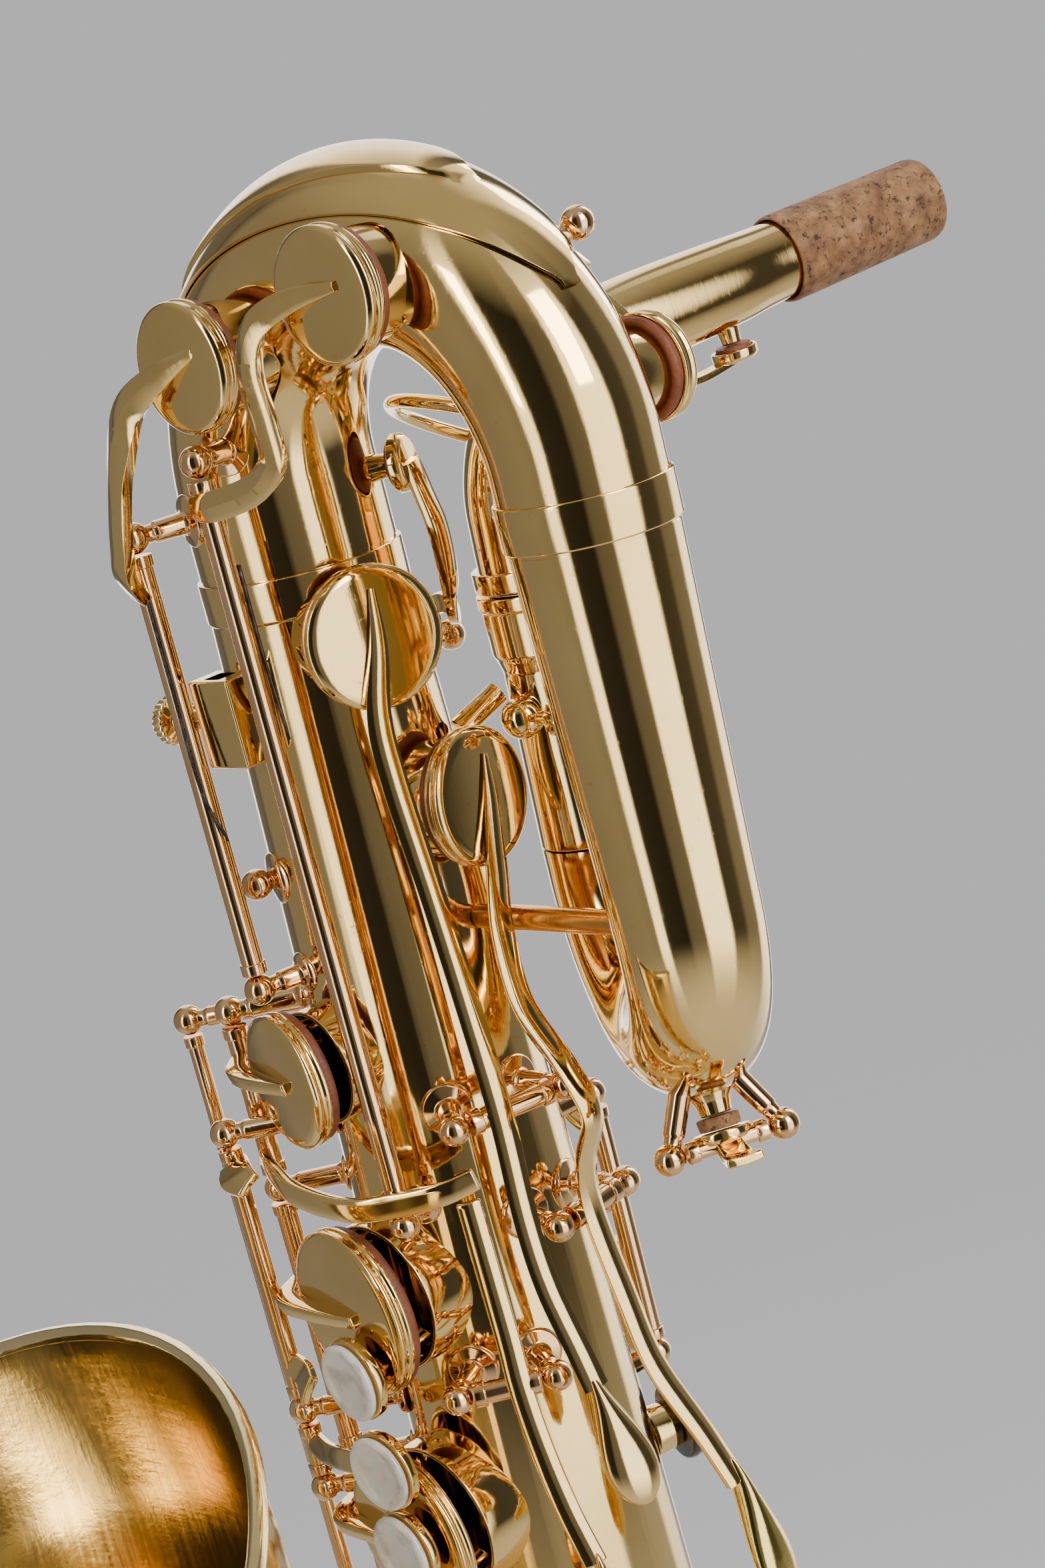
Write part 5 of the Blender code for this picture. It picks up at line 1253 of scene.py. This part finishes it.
def build_octave():
    # body octave key: its pad closes the pip on the upper bow's leg
    start, end = palm_rod("octave")
    phi, z = OCTAVE_PIP
    out = heading(phi)
    hinge("body_octave_key", start, end, leg_point(phi, z, 0.0), out)
    at = leg_point(phi, z, 4.0 + GAP)
    cup = turned([(0.0, 4.0), (5.4, 3.8), (6.2, 2.8), (6.2, 0.9), (5.4, 0.9), (5.4, 2.6),
                  (0.0, 2.6)], at, out, 14)
    places = [(118.0, 15.0, 8.2), (119.0, 8.0, 9.2), (119.0, 0.0, 10.4), (120.0, -10.0, 10.0),
              (124.0, -17.0, 8.4), (140.0, -20.0, 7.4), (158.0, -20.5, 9.4), (175.0, -20.5, 11.4),
              (188.5, -24.0, 11.4), (188.5, -29.0, 11.2)]
    arm = strap([leg_point(*place) for place in places], [heading(place[0]) for place in places],
                [7.0, 7.8, 8.6, 8.6, 7.0, 5.0, 4.4, 4.4, 4.4, 4.4], 1.8, 1)
    key_node("body_octave_key", [rod(start, end, ROD_R), arm, cup])
    disc = turned([(0.0, 2.2), (5.0, 2.2), (5.0, 0.0), (0.0, 0.0)], at, out, 12)
    rider("body_octave_pad", "body_octave_key", disc, LEATHER)

    # thumb lever on an upright rod at the player's side
    start, end = line_rod(OCTAVE_LINE, -139.5, -205.5)
    hinge("thumb_octave_lever", start, end, on_body(150.0, -160.0, 0.0), heading(150.0))
    arm = body_strap([(171.5, -190.0, 12.2), (178.0, -191.0, 12.6), (184.0, -196.0, 13.0),
                      (187.0, -207.0, 13.0)], [5.0, 6.0, 8.0, 9.0])
    lift = body_strap([(171.5, -148.0, 12.2), (180.0, -145.0, 11.4), (187.0, -134.0, 9.0),
                       (188.0, -122.0, 8.0)], [5.0, 5.0, 5.0, 5.0])
    key_node("thumb_octave_lever", [rod(start, end, ROD_R), arm, lift])


def line_rod(line, top, bottom):
    """A hinge tube on an upright line between two posts."""
    clear = BALL_R + GAP
    return on_line(line, top - clear), on_line(line, bottom + clear)


def pearl_parts(centre, out, radius=9.3):
    """The brass holder of a pearl and the pearl."""
    holder = turned([(0.0, 0.0), (radius, -0.2), (radius, -2.4), (radius - 1.6, -3.6), (0.0, -3.6)],
                    centre, out, 14)
    pearl = turned([(0.0, 0.75), (radius * 0.35, 0.9), (radius * 0.62, 1.35),
                    (radius - 2.2, 1.95), (radius - 1.3, 2.05), (radius - 0.5, 1.5),
                    (radius - 0.5, GAP), (0.0, GAP)], centre, out, 20)
    return holder, pearl


def build_stack_keys():
    # name, hinge line, top and bottom post, degrees open, pearl (x, y, z) or None
    stack = [
        ("c_key", STACK_LINE, -94.5, -137.0, 6.0, None),
        ("b_key", STACK_LINE, -137.0, -205.0, 6.0, (3.8, -170.5)),
        ("a_key", STACK_LINE, -205.0, -240.0, 4.5, (6.0, -211.0)),
        ("g_key", STACK_LINE, -240.0, -292.0, 6.0, (4.0, -262.0)),
        ("f_key", LOWER_LINE, -316.0, -372.0, 8.0, (4.0, -342.0)),
        ("e_key", LOWER_LINE, -372.0, -434.0, 8.0, (4.0, -400.0)),
        ("d_key", LOWER_LINE, -434.0, -498.0, 8.0, (4.0, -462.0)),
        ("low_c_key", LOWER_LINE, -600.0, -680.0, 7.0, None),
    ]
    for name, line, top, bottom, rest, pearl_at in stack:
        radius, out, over = cup_over(name)
        z = BODY_HOLES[name][1]
        start, end = line_rod(line, top, bottom)
        hinge(name, start, end, over(0.0), out, rest)
        at, tip, root = over(CUP_LIFT), over(ARM_LIFT), on_line(line, z)
        across = Vector((-out.y, out.x, 0.0))
        edge = tip - across * (radius + 2.0) * MM
        points = [root + (edge - root) * 0.12, edge + out * 0.6 * MM,
                  tip - across * radius * 0.5 * MM + out * 1.0 * MM, tip + across * 5.0 * MM]
        arm = strap(points, [UP] * 4, [3.4, 4.8, 5.0, 2.2], 3.0, 2, 0.5)
        pieces = [rod(start, end, ROD_R), arm, key_cup(at, out, radius)]
        if pearl_at:
            height = body_radius(z) + CUP_LIFT + CUP_H + 5.4
            centre = spot(pearl_at[0], -height, pearl_at[1])
            holder, pearl = pearl_parts(centre, FRONT)
            stem = cylinder(centre - FRONT * 6.6 * MM, centre - FRONT * 2.0 * MM, 3.0)
            pieces += [stem, holder]
            if name in ("b_key", "a_key", "g_key"):
                rider(name.replace("key", "pearl"), name, pearl, PEARL)
            else:
                bpy.data.objects.remove(pearl, do_unlink=True)
        key_node(name, pieces)
        if name in ("c_key", "b_key"):
            rider(name.replace("key", "pad"), name, pad(at, out, radius), LEATHER)


def build_front_levers():
    # front F: a short lever whose upper arm presses the end of the high F sharp key's cross bar
    start, end = line_rod(FRONT_F_LINE, -120.0, -188.0)
    hinge("front_f_key", start, end, spot(0.0, -40.0, -168.0), -FRONT)
    tilt = Vector((0.2, -1.0, 0.35))
    blade = Vector((0.25, -0.75, 0.9))
    arm = strap([on_line(FRONT_F_LINE, -127.5), spot(-26.5, -40.4, -128.0),
                 spot(-20.5, -42.0, -129.0)], [blade] * 3, [7.0, 8.0, 6.0], 2.0)
    lower = strap([on_line(FRONT_F_LINE, -176.0), spot(-25.0, -38.6, -177.0),
                   spot(-18.5, -43.0, -178.0)], [tilt] * 3, [5.0, 6.0, 7.0], 2.2)
    key_node("front_f_key", [rod(start, end, 2.2), arm, lower])

    # bis key between the B and A cups
    start, end = line_rod(FRONT_F_LINE, -188.0, -207.5)
    hinge("bis_key", start, end, spot(0.0, -40.0, -190.0), FRONT)
    holder, pearl = pearl_parts(spot(5.5, -47.4, -191.0), FRONT, 9.0)
    arm = strap([on_line(FRONT_F_LINE, -195.5), spot(-22.0, -40.5, -195.0),
                 spot(-10.0, -44.4, -192.5), spot(1.0, -45.6, -191.2)],
                [tilt] * 4, [5.0] * 4, 2.2)
    key_node("bis_key", [rod(start, end, 2.2), arm, holder])
    rider("bis_pearl", "bis_key", pearl, PEARL)


def build_side_keys():
    # long thin rod to the right hand, and the two trill keys on the player's right
    start, end = line_rod(SIDE_LINE, -96.5, -432.0)
    hinge("side_e_key", start, end, spot(-60.0, 10.0, -400.0), Vector((0.0, 1.0, 0.0)))
    touch_at = on_line((-78.0, 62.0), -398.0)
    run = on_line(SIDE_LINE, -398.0)
    arm = strap([run, (run + touch_at) / 2, touch_at], [heading(-60.0)] * 3, [6.0, 7.0, 8.0], 2.2)
    touch = teardrop(touch_at, UP, heading(-75.0), 40.0, 12.0, 5.0)
    key_node("side_e_key", [rod(start, end, 1.8, 8), arm, touch])

    for name, top, bottom, low in (("side_c_key", -130.0, -178.0, -170.0),
                                   ("side_b_flat_key", -178.0, -228.0, -186.0)):
        radius, out, over = cup_over(name)
        z = BODY_HOLES[name][1]
        start, end = line_rod(SIDE_KEY_LINE, top, bottom)
        hinge(name, start, end, over(0.0), out)
        root, tip = on_line(SIDE_KEY_LINE, z), over(ARM_LIFT - 0.2)
        arm = strap([root, on_body(-138.0, z, 15.5), on_body(-125.0, z, 14.5), tip],
                    [UP] * 4, [3.4, 4.0, 4.0, 1.6], 4.0)
        tail = strap([on_line(SIDE_KEY_LINE, low), on_line((-166.0, 43.0), low),
                      on_line((-172.0, 46.0), low)], [UP] * 3, [3.0, 3.0, 3.0], 9.0)
        key_node(name, [rod(start, end, ROD_R), arm, key_cup(over(CUP_LIFT), out, radius), tail])


def build_low_keys():
    for name, line, top, bottom in (("g_sharp_key", G_SHARP_LINE, -272.0, -326.0),
                                    ("low_e_flat_key", LOW_LINE, -510.0, -580.0)):
        radius, out, over = cup_over(name)
        start, end = line_rod(line, top, bottom)
        hinge(name, start, end, over(0.0), out)
        tip, root = over(ARM_LIFT), on_line(line, BODY_HOLES[name][1])
        across = (root - tip - out * (root - tip).dot(out)).normalized()
        middle = tip + across * radius * 0.96 * MM + out * 0.8 * MM
        arm = strap([root, middle, tip], [UP] * 3, [3.6, 4.4, 2.4], 4.6, 1)
        key_node(name, [rod(start, end, ROD_R), arm, key_cup(over(CUP_LIFT), out, radius)])

    clear = (BALL_R + GAP) * MM
    for name, post_phi, top, bottom in (("low_b_key", -45.0, -567.0, -655.0),
                                        ("low_b_flat_key", -45.0, -480.0, -567.0),
                                        ("low_a_key", 48.0, -655.0, -745.0)):
        phi, z = BELL_HOLES[name][:2]
        radius, out, over = cup_over(name)
        high, low = on_bell(post_phi, top, 13.0), on_bell(post_phi, bottom, 13.0)
        run = (low - high).normalized()
        start, end = high + run * clear, low - run * clear
        hinge(name, start, end, over(0.0), out, 6.0)
        root = start + run * ((on_bell(0.0, z, 0.0).z - start.z) / run.z)
        middle = on_bell((phi + post_phi) / 2, z, 17.5)
        arm = strap([root, middle, over(ARM_LIFT)], [UP] * 3, [3.6, 4.6, 2.4], 6.0)
        key_node(name, [rod(start, end, ROD_R), arm, key_cup(over(CUP_LIFT), out, radius)])


def build_water_key(nipple_at, out, across, back):
    """The sprung water key under the loop, and its cork."""
    pivot = nipple_at + out * 9.5 * MM - back * 2.0 * MM
    half = across * (12.5 - BALL_R - GAP) * MM
    HINGES["water_key"] = (pivot, -across, 0.0)
    seat = nipple_at + out * (4.2 + GAP) * MM
    cork = turned([(0.0, 2.6), (4.4, 2.6), (4.6, 0.0), (0.0, 0.0)], seat, out, 14)
    lid = turned([(0.0, 6.0), (5.6, 5.4), (6.2, 4.4), (6.2, 2.9), (0.0, 2.9)], seat, out, 16)
    tail = strap([seat + out * 4.4 * MM, seat + out * 6.0 * MM - back * 8.0 * MM,
                  seat + out * 4.6 * MM - back * 15.0 * MM],
                 [out] * 3, [6.0, 6.5, 8.0], 2.0)
    axle = rod(pivot - half, pivot + half, 1.9, 8)
    lift = cylinder(pivot, seat + out * 5.0 * MM, 2.2, 8)
    key_node("water_key", [lid, tail, lift, axle])
    rider("water_key_cork", "water_key", cork, CORK)


def wire(name, points, body):
    """A blued needle spring beside a hinge rod."""
    spring = tube(smooth(points, 6), [0.42] * (6 * (len(points) - 1)) + [0.2], 3)
    spring.name = name
    spring.data.name = name
    painted(spring, STEEL)
    spring.data.shade_smooth()
    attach(spring, body)


def build_springs():
    line = (HIGH_E_LINE[0] + 3.0, HIGH_E_LINE[1] + 1.4)
    wire("high_e_spring", [on_line(line, 4.0), on_line(line, -18.0),
                           on_line((line[0] + 2.0, line[1] + 0.4), -40.0),
                           on_line((line[0] + 4.0, line[1] - 2.0), -52.0)], "high_e_key")
    line = (HIGH_F_SHARP_LINE[0] + 4.0, HIGH_F_SHARP_LINE[1] - 1.5)
    wire("high_f_sharp_spring", [on_line(line, 6.0), on_line(line, -14.0),
                                 on_line((line[0] + 2.0, line[1] + 1.0), -31.0)], "frame")


def build_all():
    build_body()
    build_upper_bow()
    build_bow_guard()
    nipple_at, out, across, back, foot = build_loop()
    build_receiver(foot)
    build_neck()
    build_lower_tubes()
    build_braces()
    build_fittings()
    build_palm_keys()
    build_high_keys()
    build_octave()
    build_stack_keys()
    build_front_levers()
    build_side_keys()
    build_low_keys()
    build_water_key(nipple_at, out, across, back)
    build_springs()


# ---- room, lights and camera, in metres ------------------------------------------------------
CAMERA_TURN = radians(48.0)
CAMERA_RISE = radians(13.7)
CAMERA_ROLL = radians(-14.24)
CAMERA_REACH = 0.6475
CAMERA_LENS = 68.88             # mm, on SENSOR_HEIGHT
SENSOR_HEIGHT = 36.0
CAMERA_NEAR = 0.01
CAMERA_AIM_Z = -60.0            # mm, as spot() takes it
CAMERA_AIM_SIDE = 0.034         # to the camera's right

FLOOR_DROP = 0.0005             # below the object's lowest point
FLOOR_HALF = 12.0
FLOOR_FADE = (0.5, 2.2)         # distance over which the floor gives way to the background

BACKGROUND = (0.55, 0.55, 0.56)
FILL = (0.75, 0.75, 0.76)       # what lights matt surfaces
OVERHEAD = (0.16, 0.16, 0.15)   # what the brass mirrors straight above
WORLD_GLOW = 3.2
# (heading in degrees round the instrument, share of WORLD_GLOW)
WORLD_BANDS = [(-90.0, 0.03), (-80.0, 0.085), (-22.0, 0.10), (-8.0, 0.09), (-4.0, 0.9), (6.0, 0.95),
               (10.0, 0.012), (40.0, 0.008), (46.0, 0.05), (66.0, 0.06), (70.0, 0.95),
               (108.0, 1.0), (113.0, 0.02), (136.0, 0.025), (144.0, 0.07), (168.0, 0.08),
               (176.0, 0.85), (198.0, 0.8), (203.0, 0.04), (211.0, 0.04), (216.0, 0.75),
               (246.0, 0.8), (251.0, 0.05), (262.0, 0.05)]


def build_stage():
    grid = bmesh.new()
    bmesh.ops.create_grid(grid, x_segments=1, y_segments=1, size=FLOOR_HALF)
    mesh = bpy.data.meshes.new("floor")
    grid.to_mesh(mesh)
    grid.free()
    floor = bpy.data.objects.new("floor", mesh)
    floor.location = (0.0, 0.0, CAD_BOX[0][2] - FLOOR_DROP)
    bpy.context.scene.collection.objects.link(floor)
    made, tree, shader = new_finish("floor_paint")
    shade = ramp(tree, grain(tree, 1.5, 3.0), [(0.3, 0.56), (0.7, 0.60)])
    tree.links.new(shade, shader.inputs["Base Color"])
    preset(shader, Roughness=0.85)
    place = add(tree, "TexCoord")
    reach = add(tree, "VectorMath")
    reach.operation = "LENGTH"
    tree.links.new(place.outputs["Object"], reach.inputs[0])
    fade = add(tree, "MapRange", From_Min=FLOOR_FADE[0], From_Max=FLOOR_FADE[1],
               To_Min=1.0, To_Max=0.0)
    fade.interpolation_type = "SMOOTHSTEP"
    tree.links.new(reach.outputs["Value"], fade.inputs["Value"])
    tree.links.new(fade.outputs["Result"], shader.inputs["Alpha"])
    mesh.materials.append(made)


def build_world():
    """Plain pale studio; what the brass mirrors has darker panels between its light panels."""
    world = bpy.data.worlds.new("studio")
    bpy.context.scene.world = world
    world.use_nodes = True
    tree = world.node_tree
    shade = preset(tree.nodes["Background"], Strength=1.0)
    place = add(tree, "TexCoord")
    parts = add(tree, "SeparateXYZ")
    tree.links.new(place.outputs["Generated"], parts.inputs["Vector"])
    angle = add(tree, "Math")
    angle.operation = "ARCTAN2"
    tree.links.new(parts.outputs["Y"], angle.inputs[0])
    tree.links.new(parts.outputs["X"], angle.inputs[1])
    turn = add(tree, "MapRange", From_Min=-pi, From_Max=pi)
    tree.links.new(angle.outputs["Value"], turn.inputs["Value"])
    stops = [((way + 90.0) / 360.0, glow) for way, glow in WORLD_BANDS]
    bands = ramp(tree, turn.outputs["Result"], stops)
    height = add(tree, "MapRange", From_Min=0.55, From_Max=0.95)
    tree.links.new(parts.outputs["Z"], height.inputs["Value"])
    bands = mix(tree, height.outputs["Result"], bands, OVERHEAD)
    bright = add(tree, "VectorMath")
    bright.operation = "SCALE"
    preset(bright, Scale=WORLD_GLOW)
    tree.links.new(bands, bright.inputs[0])
    seen = add(tree, "LightPath")
    glossy = mix(tree, seen.outputs["Is Glossy Ray"], FILL, bright.outputs["Vector"])
    colour = mix(tree, seen.outputs["Is Camera Ray"], glossy, BACKGROUND)
    tree.links.new(colour, shade.inputs["Color"])


def area_light(name, place, size, power, target=(0.0, 0.0, 0.15)):
    lamp = bpy.data.lights.new(name, "AREA")
    lamp.shape = "RECTANGLE"
    lamp.size, lamp.size_y = size
    lamp.energy = power
    item = bpy.data.objects.new(name, lamp)
    item.location = place
    run = Vector(place) - Vector(target)
    item.rotation_euler = run.to_track_quat("Z", "Y").to_euler()
    bpy.context.scene.collection.objects.link(item)


def build_lights():
    area_light("key_light", (2.1, -0.1, 1.5), (0.9, 1.4), 40.0)
    area_light("left_light", (0.1, -2.2, 1.1), (0.25, 1.6), 14.0)
    area_light("back_light", (-0.4, 2.2, 1.3), (0.5, 1.6), 18.0)


def build_camera():
    right = Vector((cos(CAMERA_TURN), sin(CAMERA_TURN), 0.0))
    back = Vector((sin(CAMERA_TURN) * cos(CAMERA_RISE), -cos(CAMERA_TURN) * cos(CAMERA_RISE),
                   sin(CAMERA_RISE)))
    up = back.cross(right)
    across = right * cos(CAMERA_ROLL) + up * sin(CAMERA_ROLL)
    upward = up * cos(CAMERA_ROLL) - right * sin(CAMERA_ROLL)
    target = spot(0.0, 0.0, CAMERA_AIM_Z) + right * CAMERA_AIM_SIDE
    place = Matrix((across, upward, back)).transposed().to_4x4()
    place.translation = target + back * CAMERA_REACH
    lens = bpy.data.cameras.new("camera")
    lens.sensor_fit = "VERTICAL"
    lens.sensor_height = SENSOR_HEIGHT
    lens.lens = CAMERA_LENS
    lens.clip_start = CAMERA_NEAR
    camera = bpy.data.objects.new("camera", lens)
    camera.matrix_world = place
    bpy.context.scene.collection.objects.link(camera)
    bpy.context.scene.camera = camera


build_all()
build_stage()
build_world()
build_lights()
build_camera()
